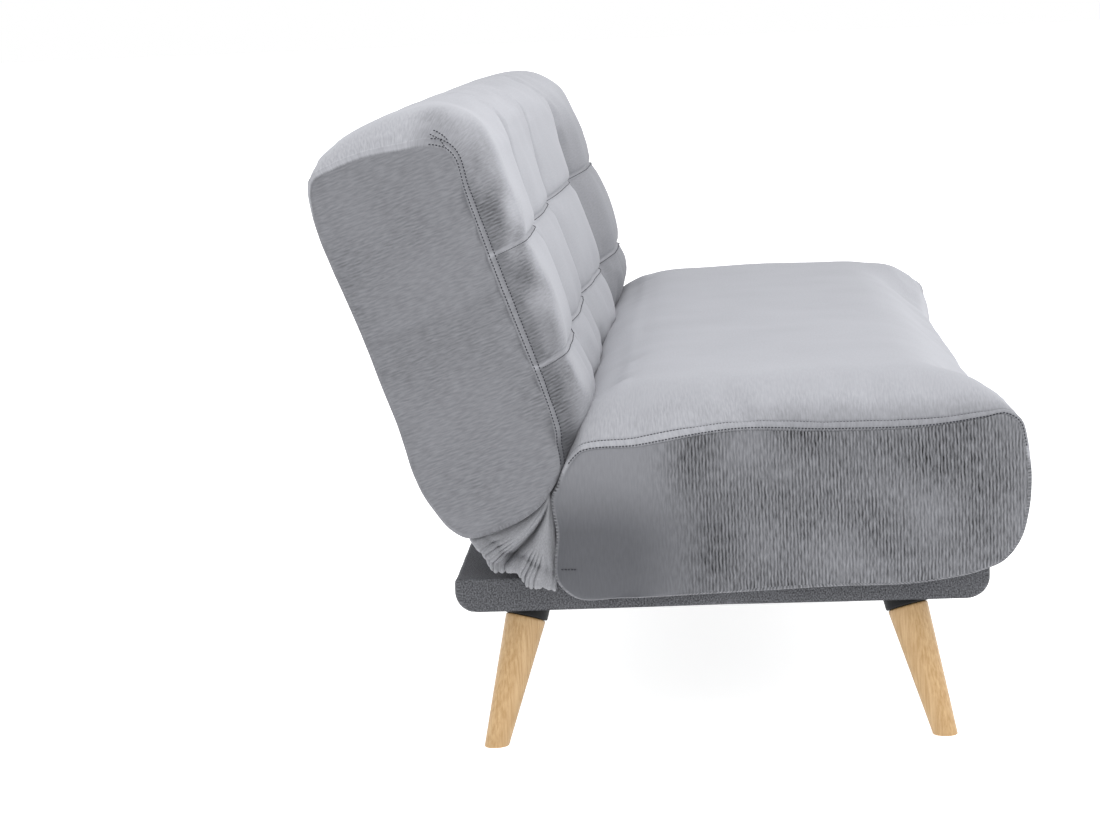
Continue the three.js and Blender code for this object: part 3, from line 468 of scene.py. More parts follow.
def pressedOut(form, pin, coarsePlaces, coarseTurns, places, turns, span, shape):
    # how far the fine grid's points move when a coarse copy is inflated; pin holds what is sewn or lies on a board
    coarse, row = form(coarsePlaces, coarseTurns)
    coarse = panelled(coarse, coarsePlaces, shape)
    held = np.zeros(coarse.shape[:2])
    held[np.isclose(np.abs(coarsePlaces), shape["halfWidth"])] = 1
    pin(held, coarsePlaces, row)
    shift = inflated(coarse, held, shape["cloth"])
    print("inflated, most", round(float(np.abs(shift).max()), 4))
    across = throughRows(coarsePlaces, shift, places)
    knots = np.append(coarseTurns, coarseTurns[0] + span)
    return throughRows(knots, across.transpose(1, 0, 2), turns, closed=True).transpose(1, 0, 2)


def sleeveLayout(places, turns, span, halfWidth):  # which bands between rings are end panels, and the sleeve's map
    isPanel = np.abs((places[1:] + places[:-1]) / 2) >= halfWidth
    return isPanel, np.stack(np.broadcast_arrays(places[:, None], np.append(turns, span)[None, :]), 2)


def fromEnd(places, shape):  # distance in from the end seam, distance past it, and whether a ring is on the sleeve
    away = (np.abs(places) - shape["halfWidth"])[:, None]
    return np.maximum(-away, 0), np.maximum(away, 0), away <= 1e-6


# height of the cloth that lies double between two rows of stitches, its slopes' ends, and the rows' depth and reach
seamShape = {"fold": 0.0008, "slope": (0.0008, 0.002), "depth": 0.0016, "edgeReach": 0.0012}


def doubleSeam(inset, seam, reach):
    near, far = seamShape["slope"]
    fold = seamShape["fold"] * smoothStep(inset, near, far) * (1 - smoothStep(inset, seam - far, seam - near))
    return fold - seamShape["depth"] * (ridge(inset - seam, reach) + ridge(inset, seamShape["edgeReach"]))


def groove(shape, name, away):
    height, reach = shape["grooves"][name]
    return height * ridge(away, reach)


def weltAt(inset, shape):  # a ridge at the end's edge with a line of stitches beside it
    ridgeInset, lineInset = shape["weltInsets"]
    return groove(shape, "weltRidge", inset - ridgeInset) - groove(shape, "weltLine", inset - lineInset)


# Back cushion, in the back's own directions: across (rearward) and along (up the back) from the hinge
backShape = {
    "halfWidth": 0.9075, "lean": math.radians(19.2), "hinge": (0.1969, 0.350),
    "rearDepth": 0.115, "sideDepth": 0.078, "height": 0.461, "crown": 0.072,
    "crownRun": 0.12, "crownPower": 2.2, "panelBulge": 0.0045, "cornerRadius": 0.005,
    "columns": 4, "channelShare": 0.54, "channelPower": 2.6, "fadeFrom": 0.27, "fadeTo": 0.447,
    "rows": (0.133, 0.285), "rowPinch": 0.07, "rowReach": 0.028, "rowHalf": 0.0042, "crease": 0.0035, "seam": 0.0062,
    "plump": [(-0.9, 0.62), (-0.6, 0.6), (-0.2, 0.5), (0.2, 0.6), (0.6, 0.98), (0.9, 1)],  # X and fullness in front
    "plumpFades": (0.405, 0.45),  # heights between which that fullness fades out
    # how much less full the plump columns are where they meet the seat, up to which heights, and which count as plump
    "farSlack": 0.55, "slackFades": (0.03, 0.11), "slackFullness": (0.6, 0.95),
    "tuck": {"spread": 0.4, "reach": 0.038, "lines": (0.001, 0.0085), "corner": (-0.0702, 0.425)},
    # end outline as shares of depth and height, and how far the crown lifts it across and along
    "outline": [
        (-0.79, 0.004, -0.6, 0.1), (-0.9, 0.11, -0.97, 0.02), (-0.94, 0.25, -0.92, 0), (-0.94, 0.33, -0.99, 0),
        (-0.94, 0.455, -1.03, 0), (-0.94, 0.575, -1.04, 0), (-0.94, 0.66, -1.04, 0), (-0.96, 0.818, -0.98, 0.05),
        (-1, 0.9, -0.84, 0.22), (-0.9, 0.937, -0.58, 0.42), (-0.55, 0.97, -0.4, 0.47), (-0.24, 0.98, -0.16, 0.5),
        (0.27, 1, 0, 0.38), (0.63, 0.998, 0.014, 0.27), (0.87, 0.989, 0.014, 0.16), (0.95, 0.961, 0, 0.02),
        (1, 0.911, 0, 0), (1, 0.6, 0, 0), (1, 0.3, 0, 0), (0.983, 0.026, 0, 0), (0.88, -0.046, 0, 0),
        (0.765, -0.08, 0, 0), (0.4, -0.0933, 0, 0), (0.104, -0.089, 0, 0), (-0.24, -0.07, 0, 0),
        (-0.51, -0.039, 0, 0),
    ],
    # height and reach of the grooves: channel, row (its ridge, then its line), tuck lines and end welt
    "grooves": {
        "channel": (0.003, 0.0028), "rowRidge": (0.0022, 0.0028), "rowLine": (0.0016, 0.0018),
        "tuck": (0.0018, 0.0018), "weltRidge": (0.0012, 0.0014), "weltLine": (0.0007, 0.0014), "past": (0.0012, 0.006),
    },
    "weltInsets": (0.0012, 0.0045), "pucker": {"height": 0.0005, "pitch": 0.013, "reach": 0.012},
    "unevenness": (0.0007, 0.09),  # height and wave length
    "creaseAcross": (0.03, 0.045), "creaseFrom": (-0.02, -0.005), "creaseTo": (0.03, 0.05),
    # slot in the underside for the hinge: its rings, and its roof as across and along
    "slotInsets": (0.0336, 0.0343, 0.0552, 0.0559), "slotHalf": (0.8519, 0.8735),
    "slotRoof": [(-0.08, -0.034), (-0.033, 0.016), (-0.03, 0.034), (0.053, 0.034), (0.056, -0.06)],
    "fadeInsets": (0.01, 0.125),
    # ribs and painted shade of the pile: the end panels, the seam band and the front strip are painted darker where
    # they stand in shade, the top not at all; more painted shade lies lower down on the front strip and in the crease
    "panelPileAndPaintedShade": {"ribs": 0.46, "paintedShade": 0.6}, "bandPileAndPaintedShade": {"ribs": 0.2, "paintedShade": 0.5},
    "frontPileAndPaintedShade": {"ribs": 0.72, "paintedShade": 0.75}, "topPileAndPaintedShade": {"ribs": 0.34, "paintedShade": 0}, "topSeam": 0.0025,
    "farPile": {"ribs": 0.15, "paintedShade": 0.46}, "farFrom": (0.42, 0.5), "darkBelow": (0.34, 0.44),
    "creasePaintedShade": 0.45, "creaseShadeTo": (0.015, 0.06), "rowPaintedHighlight": (0.8, 0.0026),  # share of its painted shade and ribs that a row loses, a painted highlight, and its reach
    "plainTo": (0.4, 0.43), "plainPast": (0.13, 0.15),
    "cloth": {"pressure": 1.8, "tension": 12, "bending": 0.4, "slack": -0.012, "cap": 0.005},
}


def leaned(across, along, shape=backShape):
    cosine, sine = math.cos(shape["lean"]), math.sin(shape["lean"])
    return shape["hinge"][0] + cosine * across + sine * along, shape["hinge"][1] - sine * across + cosine * along


def unleaned(y, z, shape=backShape):  # the same turn the other way: from y and z to across and along
    cosine, sine = math.cos(shape["lean"]), math.sin(shape["lean"])
    return y * cosine - z * sine, y * sine + z * cosine


def columnWidth(shape):
    return 2 * shape["halfWidth"] / shape["columns"]


def backTable(shape):
    rows = np.array(shape["outline"])
    depth = np.where(rows[:, 0] > 0, shape["rearDepth"], shape["sideDepth"])
    table = np.stack([rows[:, 0] * depth, rows[:, 1] * shape["height"], rows[:, 2], rows[:, 3]], 1)
    loop = table[:, :2] + 0.5 * shape["crown"] * table[:, 2:]
    return chordPlaces(np.concatenate([loop, loop[:1]])), table


def crownAt(inset, shape):  # 0 at the end seam to 1 at the full crown
    return 1 - (1 - np.clip(inset / shape["crownRun"], 0, 1)) ** shape["crownPower"]


def backForm(places, turns, shape=backShape):
    # surface = end outline + crown x lift; the crown is held down at the channels and at the sewn rows,
    # and in front it is as full as the column is plump
    knots, table = backTable(shape)
    row = throughRows(knots, table, turns, closed=True)
    across, along, liftAcross, liftAlong = row.T
    x = np.clip(places, -shape["halfWidth"], shape["halfWidth"])
    inset = shape["halfWidth"] - np.abs(x)
    column = (x + shape["halfWidth"]) / (2 * shape["halfWidth"]) * shape["columns"]
    hollow = np.abs(2 * (column % 1) - 1) ** shape["channelPower"]
    isOuter = inset < shape["halfWidth"] / shape["columns"]
    front = (liftAcross < -0.05) | (across < 0)
    fade = np.where(front, 1 - smoothStep(along, shape["fadeFrom"], shape["fadeTo"]), 0)
    channel = 1 - shape["channelShare"] * hollow[:, None] * fade[None, :]
    crown = np.where(isOuter[:, None], crownAt(inset, shape)[:, None], channel)
    pinch = 1
    for height in shape["rows"]:
        away = np.abs(along - height) + np.where(front, 0, 1)
        pinch = pinch - shape["rowPinch"] * np.exp(-away / shape["rowReach"])[None, :]
    fullness = np.interp(x, *np.array(shape["plump"]).T)[:, None]
    low = np.where(front, 1 - smoothStep(along, *shape["plumpFades"]), 0)[None]
    bottom = np.where(front, 1 - smoothStep(along, *shape["slackFades"]), 0)[None]
    bottom = bottom * smoothStep(fullness, *shape["slackFullness"])
    rise = shape["crown"] * crown * pinch * (1 - (1 - fullness) * low) * (1 - shape["farSlack"] * bottom)
    ringAcross, ringAlong = across + liftAcross * rise, along + liftAlong * rise
    y, z = leaned(ringAcross, ringAlong)
    points = np.stack([np.broadcast_to(x[:, None], y.shape), y, z], 2)
    return points, row


endInsets = np.array([
    0, 0.001, 0.0022, 0.0034, 0.0045, 0.0054, 0.0062, 0.007, 0.008, 0.009, 0.0098, 0.0108, 0.0122, 0.014, 0.017, 0.021,
    0.026, 0.033, 0.042, 0.053, 0.067, 0.084, 0.104, 0.127, 0.15,
])


def backStations(shape):
    quarter = columnWidth(shape)
    near = np.array([
        0, 0.0015, 0.003, 0.0045, 0.0065, 0.009, 0.0125, 0.017, 0.023,
        0.031, 0.041, 0.054, 0.07, 0.09, 0.114, 0.142, 0.172, 0.2,
    ])
    sides = np.concatenate([-near[:0:-1], near])
    channels = np.concatenate([sides - quarter, sides, sides + quarter])
    ends = np.concatenate([endInsets, shape["slotInsets"], [0.175, 0.2, 0.2275]])
    xs = np.concatenate([ends - shape["halfWidth"], channels, shape["halfWidth"] - ends])
    xs = np.unique(np.round(xs, 5))
    keep = np.concatenate([[True], np.diff(xs) > 0.0007])
    return xs[keep]


def seamGrooves(points, places, turns, row, shape):
    # relief along the normals: double end seam, single top seam, sewn rows and channels
    normal = gridNormals(points)
    inset, past, isSleeve = fromEnd(places, shape)
    across, along = row[:, 0][None], row[:, 1][None]
    frontEdge = smoothStep(-across, 0.035, 0.06) * smoothStep(along, -0.02, 0.0)
    topEdge = smoothStep(along, 0.435, 0.45) * smoothStep(across, -0.06, -0.03)
    pucker = shape["pucker"]
    relief = frontEdge * doubleSeam(inset, shape["seam"], 0.001) * isSleeve
    relief = relief + (1 - frontEdge) * weltAt(inset, shape) * isSleeve * (0.35 + 0.65 * topEdge)
    relief = relief - groove(shape, "past", past) * (past > 0)
    waves = np.sin(2 * np.pi * turns / pucker["pitch"] + 2 * np.sin(turns * 90))[None]
    relief = relief + pucker["height"] * waves * topEdge * np.exp(-inset / pucker["reach"]) * isSleeve
    front = smoothStep(-across, 0.03, 0.05) * isSleeve
    edge = smoothStep(inset, shape["seam"], shape["seam"] + 0.003)
    for height in shape["rows"]:
        away = along - height
        seam = groove(shape, "rowRidge", away) - groove(shape, "rowLine", away + shape["rowHalf"])
        relief = relief + seam * front * edge
    column = places / columnWidth(shape)
    nearest = np.abs(column - np.round(column)) * columnWidth(shape)
    fade = 1 - smoothStep(along, shape["fadeFrom"], shape["fadeTo"])
    inner = (np.abs(places) < shape["halfWidth"] * 0.8)[:, None]
    relief = relief - groove(shape, "channel", nearest)[:, None] * inner * fade * front
    tuck = shape["tuck"]
    past = (turns - tuckStart(turns, row))[None]
    fade = smoothStep(past, -0.006, 0.002) * (1 - smoothStep(past, 0.6 * tuck["reach"], tuck["reach"]))
    for start in tuck["lines"]:
        relief = relief - groove(shape, "tuck", inset - start - tuck["spread"] * past) * fade * isSleeve
    height, length = shape["unevenness"]
    relief = relief + height * softNoise(points, length, 3)
    rearward, upward = unleaned(points[..., 1] - shape["hinge"][0], points[..., 2] - shape["hinge"][1])
    crease = smoothStep(-rearward, *shape["creaseAcross"]) * smoothStep(upward, *shape["creaseFrom"])
    crease = crease * (1 - smoothStep(upward, *shape["creaseTo"]))  # room behind the seat's rear edge
    return points + normal * relief[..., None] + shape["crease"] * crease[..., None] * np.array([0, 1, 0])


def slotted(points, places, shape):
    # room for the hinge in the underside near each end: the points there rise to the slot's roof
    low, high = shape["slotHalf"]
    inSlot = ((np.abs(places) > low) & (np.abs(places) < high))[:, None]
    across, along = unleaned(points[..., 1] - shape["hinge"][0], points[..., 2] - shape["hinge"][1])
    roof = np.interp(across, *np.array(shape["slotRoof"]).T, left=-1, right=-1)
    rise = np.where(inSlot, np.maximum(roof - along, 0), 0)
    return points + rise[..., None] * np.array([0, math.sin(shape["lean"]), math.cos(shape["lean"])])


def tuckStart(turns, row):  # where the front double seam reaches the top front corner
    across, along = backShape["tuck"]["corner"]
    return turns[np.argmin(np.abs(row[:, 0] - across) + 3 * (row[:, 1] < along))]


def pileAndPaintedShadeOf(points, places, shape, stripPileAndPaintedShade, bandWidth, isPlain, seed):
    # ribs and painted shade: the end panels' own, the seam band's, then the strip's beside it, fading to an uneven
    # border.
    # Plain edges, below and behind, go on from the panel without a band
    away = np.abs(places)[:, None] - shape["halfWidth"]
    inset = np.maximum(-away, 0)
    low, high = shape["fadeInsets"]
    border = 0.14 * (high - low) * softNoise(points, 0.05, seed) * smoothStep(inset, low, low + 0.02)
    fade = 1 - smoothStep(inset + border, low, high)
    isBand = 1 - smoothStep(inset, bandWidth, bandWidth + 0.001)
    pileAndPaintedShade = {}
    for key in ("ribs", "paintedShade"):
        sleeve = stripPileAndPaintedShade[key] * fade
        sleeve = sleeve + (np.minimum(shape["bandPileAndPaintedShade"][key], sleeve) - sleeve) * isBand
        sleeve = sleeve + (shape["panelPileAndPaintedShade"][key] - sleeve) * isPlain * (1 - smoothStep(inset, 0.003, 0.03))
        pileAndPaintedShade[key] = np.where(away > -1e-6, shape["panelPileAndPaintedShade"][key], sleeve)
    return pileAndPaintedShade


def pinBack(held, places, row):
    # the rear, the bottom and the channels stay, and the sewn rows almost
    shape = backShape
    across, along = row[:, 0], row[:, 1]
    onSleeve = np.abs(places) < shape["halfWidth"]
    held[np.ix_(onSleeve, (across > 0.1) & (along < 0.44) | (along < 0.02))] = 1
    for height in shape["rows"]:
        held[np.ix_(onSleeve, (np.abs(along - height) < 0.011) & (across < 0))] = 0.9
    column = places / columnWidth(shape)
    isChannel = np.isclose(column, np.round(column), atol=2e-3)
    held[np.ix_(isChannel & (np.abs(places) < 0.8), (along < 0.36) & (across < 0))] = 1


def buildBack():
    shape = backShape
    knots, table = backTable(shape)
    span = knots[-1]
    fine = np.linspace(0, span, 4000)
    outline = throughRows(knots, table, fine, closed=True)
    isFront = fine < knots[9]
    spots = [np.interp(height, outline[isFront, 1], fine[isFront]) for height in shape["rows"]]
    top = fine[np.argmin(np.abs(outline[:, 0] + 0.02) + (outline[:, 1] < 0.4))]
    turns = crowded(0, span, 251, [*spots, top], 0.016, 3.2)[:-1]
    places = ringPlaces(backStations(shape))
    points, row = backForm(places, turns)
    points = panelled(points, places, shape)
    quarter = columnWidth(shape)
    coarseXs = [np.linspace(at * quarter, (at + 1) * quarter, 21) for at in range(-2, 2)]
    coarsePlaces = ringPlaces(np.unique(np.round(np.concatenate(coarseXs), 6)))
    coarseTurns = np.linspace(0, span, 73)[:-1]
    points = points + pressedOut(backForm, pinBack, coarsePlaces, coarseTurns, places, turns, span, shape)
    points = slotted(seamGrooves(points, places, turns, row, shape), places, shape)
    isPanel, sleeveMap = sleeveLayout(places, turns, span, shape["halfWidth"])
    panelMap = np.stack(unleaned(points[..., 1], points[..., 2]), 2)
    front = smoothStep(-row[:, 0], 0.02, 0.05)[None] * smoothStep(row[:, 1], -0.03, 0)[None]
    # painted shade on the front strip beside the end seams, darker still lower down
    below = front * (1 - smoothStep(row[:, 1], *shape["darkBelow"]))[None]
    strip = {
        key: shape["topPileAndPaintedShade"][key] * (1 - front) + shape["frontPileAndPaintedShade"][key] * (0.55 * front + 0.45 * below)
        for key in ("ribs", "paintedShade")
    }
    bandWidth = shape["seam"] * front + shape["topSeam"] * (1 - front)
    isTop = smoothStep(row[:, 1], *shape["plainTo"]) * (1 - smoothStep(row[:, 0], *shape["plainPast"]))
    isPlain = (1 - front) * (1 - isTop)[None]
    pileAndPaintedShade = pileAndPaintedShadeOf(points, places, shape, strip, bandWidth, isPlain, 21)
    onSleeve = (np.abs(places) < shape["halfWidth"] - 1e-6)[:, None]
    isFar = smoothStep(places, *shape["farFrom"])[:, None] * below * onSleeve
    light, reach = shape["rowPaintedHighlight"]
    rowLine = sum(ridge(row[:, 1] - height, reach) for height in shape["rows"])[None] * front * onSleeve
    for key in pileAndPaintedShade:  # the column at the +X end is darker, and the sewn rows get a painted highlight: they lose part of their painted shade and ribs
        pileAndPaintedShade[key] = np.maximum(pileAndPaintedShade[key], shape["farPile"][key] * isFar) * (1 - light * rowLine)
    pileAndPaintedShade["ribs"] = pileAndPaintedShade["ribs"] * (0.85 + 0.15 * softNoise(points, 0.1, 22))
    # painted shade in the crease where seat and back meet
    creasePaintedShade = front * (1 - smoothStep(row[:, 1], *shape["creaseShadeTo"]))[None] * onSleeve
    pileAndPaintedShade["paintedShade"] = pileAndPaintedShade["paintedShade"] + shape["creasePaintedShade"] * creasePaintedShade
    piece = closedShell("backCushion", points, isPanel, panelMap, sleeveMap, cloths["chenille"], pileAndPaintedShade)
    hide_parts("back_cushion")
    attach(piece, "back")
    return points, places, turns, row


backPoints, backPlaces, backTurns, backRow = buildBack()
print("back cushion filled")


# Seat cushion: outline from its rear (share 0) to its front (share 1)
seatShape = {
    "closing": 0.2432,  # height of the short seam at the rear edge of each panel
    "halfWidth": 0.9075, "rear": 0.1499, "depth": 0.596, "skirt": 0.203, "height": 0.222, "crown": 0.047,
    "crownRun": 0.15, "crownPower": 2.4, "panelBulge": 0.0045, "cornerRadius": 0.005,
    "frontSag": 0.034, "sagPlace": (0.93, 0.09), "sagInsets": (0.06, 0.3),
    "crease": 0.0045, "frontDraw": 0.007, "seam": 0.0098,
    "grooves": {"weltRidge": (0.001, 0.0016), "weltLine": (0.0008, 0.002), "past": (0.0013, 0.006)},
    "weltInsets": (0.0016, 0.0055), "unevenness": (0.001, 0.16),
    "creaseDepth": (0.115, 0.13), "creaseFrom": (0.335, 0.35), "creaseTo": (0.405, 0.425),
    # ribs and painted shade of the pile: the end panels and the seam band are painted darker where they stand in
    # shade, the top strip not at all
    "fadeInsets": (0.012, 0.09), "panelPileAndPaintedShade": {"ribs": 0.92, "paintedShade": 0.47}, "bandPileAndPaintedShade": {"ribs": 0.3, "paintedShade": 0.1},
    "stripPileAndPaintedShade": {"ribs": 0.33, "paintedShade": 0},
    # painted shade: how much darker the top towards the front of its end seams and the crease against the back are,
    # and between which places each of the parts fades
    "edgePaintedShade": 0.4, "edgeShadeInsets": (0.006, 0.052), "edgeShadeFrom": (0.03, 0.17),
    "creasePaintedShade": 0.7, "creaseShadeFrom": (0.112, 0.14), "topFrom": (0.37, 0.4), "lowTo": (0.27, 0.38),
    "smoothFrom": (-0.03, 0.06), "panelShadeFrom": (-0.13, 0.09), "plainTo": (0.355, 0.372),
    "outline": [
        (-0.0095, 0.617, 0, 0.02), (0.026, 0.82, -0.2, 0.8), (0.176, 0.883, 0.06, 1.2), (0.381, 0.964, 0.15, 0.98),
        (0.587, 0.946, 0, 1.1), (0.79, 0.946, 0, 1.04), (0.913, 0.986, 0.06, 0.6), (0.953, 1, 0.06, 0.2),
        (0.98, 0.955, 0.06, 0.05), (0.992, 0.838, 0, 0), (1, 0.64, 0, 0), (0.994, 0.437, 0, 0),
        (0.976, 0.27, 0, 0), (0.943, 0.158, 0, 0), (0.886, 0.095, 0, 0), (0.782, 0.045, 0, 0),
        (0.577, 0.032, 0, 0), (0.3, 0.009, 0, 0), (0.13, 0, 0, 0), (0.025, 0.018, 0, 0), (0, 0.077, 0, 0),
        (-0.004, 0.4, 0, 0),
    ],
    # underside: the ends hang past the base, and the frame and linkage sit in hollows
    "skirtInner": 0.8805, "overBase": 0.2322, "frame": (-0.4001, 0.1249), "frameHalf": 0.858,
    "frameRoof": 0.3092, "linkHalf": 0.8737, "linkRoof": 0.3208,
    "cloth": {"pressure": 2.2, "tension": 12, "bending": 0.6, "slack": -0.006, "cap": 0.008},
}


def seatTable(shape):
    rows = np.array(shape["outline"])
    y, z = shape["rear"] - rows[:, 0] * shape["depth"], shape["skirt"] + rows[:, 1] * shape["height"]
    table = np.stack([y, z, rows[:, 2], rows[:, 3]], 1)
    return chordPlaces(np.concatenate([table[:, :2], table[:1, :2]])), table


def seatForm(places, turns, shape=seatShape):
    # surface = end outline + crown x lift, its top front edge sagging between the ends
    knots, table = seatTable(shape)
    row = throughRows(knots, table, turns, closed=True)
    y, z, liftY, liftZ = row.T
    x = np.clip(places, -shape["halfWidth"], shape["halfWidth"])
    inset = shape["halfWidth"] - np.abs(x)
    rise = shape["crown"] * crownAt(inset, shape)[:, None]
    ringY, ringZ = y + liftY * rise, z + liftZ * rise
    share = (shape["rear"] - y) / shape["depth"]
    upper = smoothStep(z, shape["skirt"] + 0.25 * shape["height"], shape["skirt"] + 0.95 * shape["height"])
    middle, reach = shape["sagPlace"]
    inwards = smoothStep(inset, *shape["sagInsets"])[:, None]
    ringZ = ringZ - shape["frontSag"] * inwards * ridge(share - middle, reach) * upper
    ringY = ringY + shape["frontDraw"] * inwards * smoothStep(share, 0.8, 0.95)
    points = np.stack([np.broadcast_to(x[:, None], ringY.shape), ringY, ringZ], 2)
    return points, row


def hollowedUnderneath(points, places, row, shape):
    # lifts the underside to the base's top, the frame's roof or the linkage's roof, by where a point stands
    isUnder = (row[:, 1] < shape["skirt"] + 0.45 * shape["height"])[None, :]
    away = np.abs(points[..., 0])
    y, z = points[..., 1], points[..., 2]
    floor = np.where(away < shape["skirtInner"], shape["overBase"], -1)
    inFrame = (y > shape["frame"][0]) & (y < shape["frame"][1]) & (z < 0.26)
    floor = np.where(inFrame & (away < shape["linkHalf"]), shape["linkRoof"], floor)
    floor = np.where(inFrame & (away < shape["frameHalf"]), shape["frameRoof"], floor)
    onSleeve = fromEnd(places, shape)[2]
    points[..., 2] = np.where(isUnder & onSleeve, np.maximum(z, floor), z)
    return points


def seatGrooves(points, places, row, shape):
    # relief along the normals: double seam over the end's top edge, single seam down its front and round it
    normal = gridNormals(points)
    inset, past, isSleeve = fromEnd(places, shape)
    z = row[:, 1][None]
    topEdge = smoothStep(z, 0.36, 0.378)
    above = smoothStep(z, 0.235, 0.25)
    seams = topEdge * doubleSeam(inset, shape["seam"], 0.0012) + (1 - topEdge) * weltAt(inset, shape) * above
    relief = seams * isSleeve
    relief = relief - groove(shape, "past", past) * (past > 0)
    height, length = shape["unevenness"]
    relief = relief + height * softNoise(points, length, 5) * above
    y, z = points[..., 1], points[..., 2]
    crease = smoothStep(y, *shape["creaseDepth"]) * smoothStep(z, *shape["creaseFrom"])
    crease = crease * (1 - smoothStep(z, *shape["creaseTo"]))  # room in front of the back
    return points + normal * relief[..., None] - shape["crease"] * crease[..., None] * np.array([0, 1, 0])


def seatStations(shape):
    steps = np.array([shape["frameHalf"], shape["linkHalf"], shape["skirtInner"]])
    ends = np.unique(np.concatenate([shape["halfWidth"] - endInsets, steps - 0.0003, steps + 0.0003,
        np.linspace(0, 0.75, 36)]))
    return np.concatenate([-ends[:0:-1], ends])


def pinSeat(held, places, row):  # the underside stays
    held[np.ix_(np.abs(places) < seatShape["halfWidth"], row[:, 1] < 0.25)] = 1


def buildSeat():
    shape = seatShape
    knots, table = seatTable(shape)
    span = knots[-1]
    fine = np.linspace(0, span, 4000)
    outline = throughRows(knots, table, fine, closed=True)
    isUnder = fine > knots[13]
    spots = [np.interp(-edge, -outline[isUnder, 0][::-1], fine[isUnder][::-1]) for edge in shape["frame"]]
    turns = crowded(0, span, 221, spots, 0.004, 8)[:-1]
    places = ringPlaces(seatStations(shape))
    points, row = seatForm(places, turns)
    points = panelled(points, places, shape)
    coarsePlaces = ringPlaces(np.linspace(-shape["halfWidth"], shape["halfWidth"], 77))
    coarseTurns = np.linspace(0, span, 77)[:-1]
    points = points + pressedOut(seatForm, pinSeat, coarsePlaces, coarseTurns, places, turns, span, shape)
    points = hollowedUnderneath(seatGrooves(points, places, row, shape), places, row, shape)
    layout, sleeveMap = sleeveLayout(places, turns, span, shape["halfWidth"])
    panelMap = np.stack([points[..., 2], points[..., 1]], 2)
    y, z = points[..., 1], points[..., 2]
    low, top = 1 - smoothStep(z, *shape["lowTo"]), smoothStep(z, *shape["topFrom"])
    isPanel = (np.abs(places) > shape["halfWidth"] - 1e-6)[:, None]
    smooth = smoothStep(y + 0.018 * low, *shape["smoothFrom"]) * isPanel  # the panels' rear part is worn smooth
    # painted shade on the end panels, darker towards the rear and the bottom
    panelPaintedShade = smoothStep(y, *shape["panelShadeFrom"]) * (0.15 + 0.42 * low) * isPanel
    isPlain = 1 - smoothStep(row[:, 1], *shape["plainTo"])[None]
    pileAndPaintedShade = pileAndPaintedShadeOf(points, places, shape, shape["stripPileAndPaintedShade"], shape["seam"], isPlain, 23)
    pileAndPaintedShade["ribs"] = pileAndPaintedShade["ribs"] * (1 - 0.95 * smooth) * (0.88 + 0.12 * softNoise(points, 0.1, 24))
    inset = (shape["halfWidth"] - np.abs(places))[:, None]  # painted shade on the top towards the front half of its end seam, where it rounds over
    edgePaintedShade = (1 - smoothStep(inset, *shape["edgeShadeInsets"])) * smoothStep(-y, *shape["edgeShadeFrom"]) * ~isPanel
    # painted shade in the crease where the seat meets the back
    creasePaintedShade = smoothStep(y, *shape["creaseShadeFrom"]) * top * ~isPanel
    pileAndPaintedShade["paintedShade"] = pileAndPaintedShade["paintedShade"] + panelPaintedShade + shape["edgePaintedShade"] * edgePaintedShade * top + shape["creasePaintedShade"] * creasePaintedShade
    piece = closedShell("seatCushion", points, layout, panelMap, sleeveMap, cloths["chenille"], pileAndPaintedShade)
    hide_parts("seat_cushion")
    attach(piece, "seat")
    return points, places, row


seatPoints, seatPlaces, seatRow = buildSeat()
print("seat cushion filled")


# Base: a board wrapped in tweed over thin wadding, its lower edges well rounded
baseShape = {
    "halfWidth": 0.88, "front": -0.3941, "rear": 0.2859, "under": 0.185, "top": 0.229,
    "lowRadius": 0.027, "topRadius": 0.006, "cornerRadius": 0.007, "panelBulge": 0.002,
    "windowHalf": 0.7445, "windowDepth": (-0.2588, 0.1506), "recess": 0.0015,
}


def baseOutline(shape):
    # four quarter circles joined by straights: low rear, top rear, top front, low front
    low, high = shape["lowRadius"], shape["topRadius"]
    corners = [
        (shape["rear"] - low, shape["under"] + low, low, -90), (shape["rear"] - high, shape["top"] - high, high, 0),
        (shape["front"] + high, shape["top"] - high, high, 90), (shape["front"] + low, shape["under"] + low, low, 180),
    ]
    arcs = []
    for y, z, radius, start in corners:
        angle = np.radians(start + np.linspace(0, 90, 15))
        arcs.append(np.stack([y + radius * np.cos(angle), z + radius * np.sin(angle)], 1))
    closed = np.concatenate([*arcs, arcs[0][:1]])
    knots = chordPlaces(closed)
    spread = np.unique(np.concatenate([knots[:-1], np.linspace(0, knots[-1], 90)[:-1]]))
    return np.stack([np.interp(spread, knots, closed[:, at]) for at in (0, 1)], 1), spread, knots[-1]


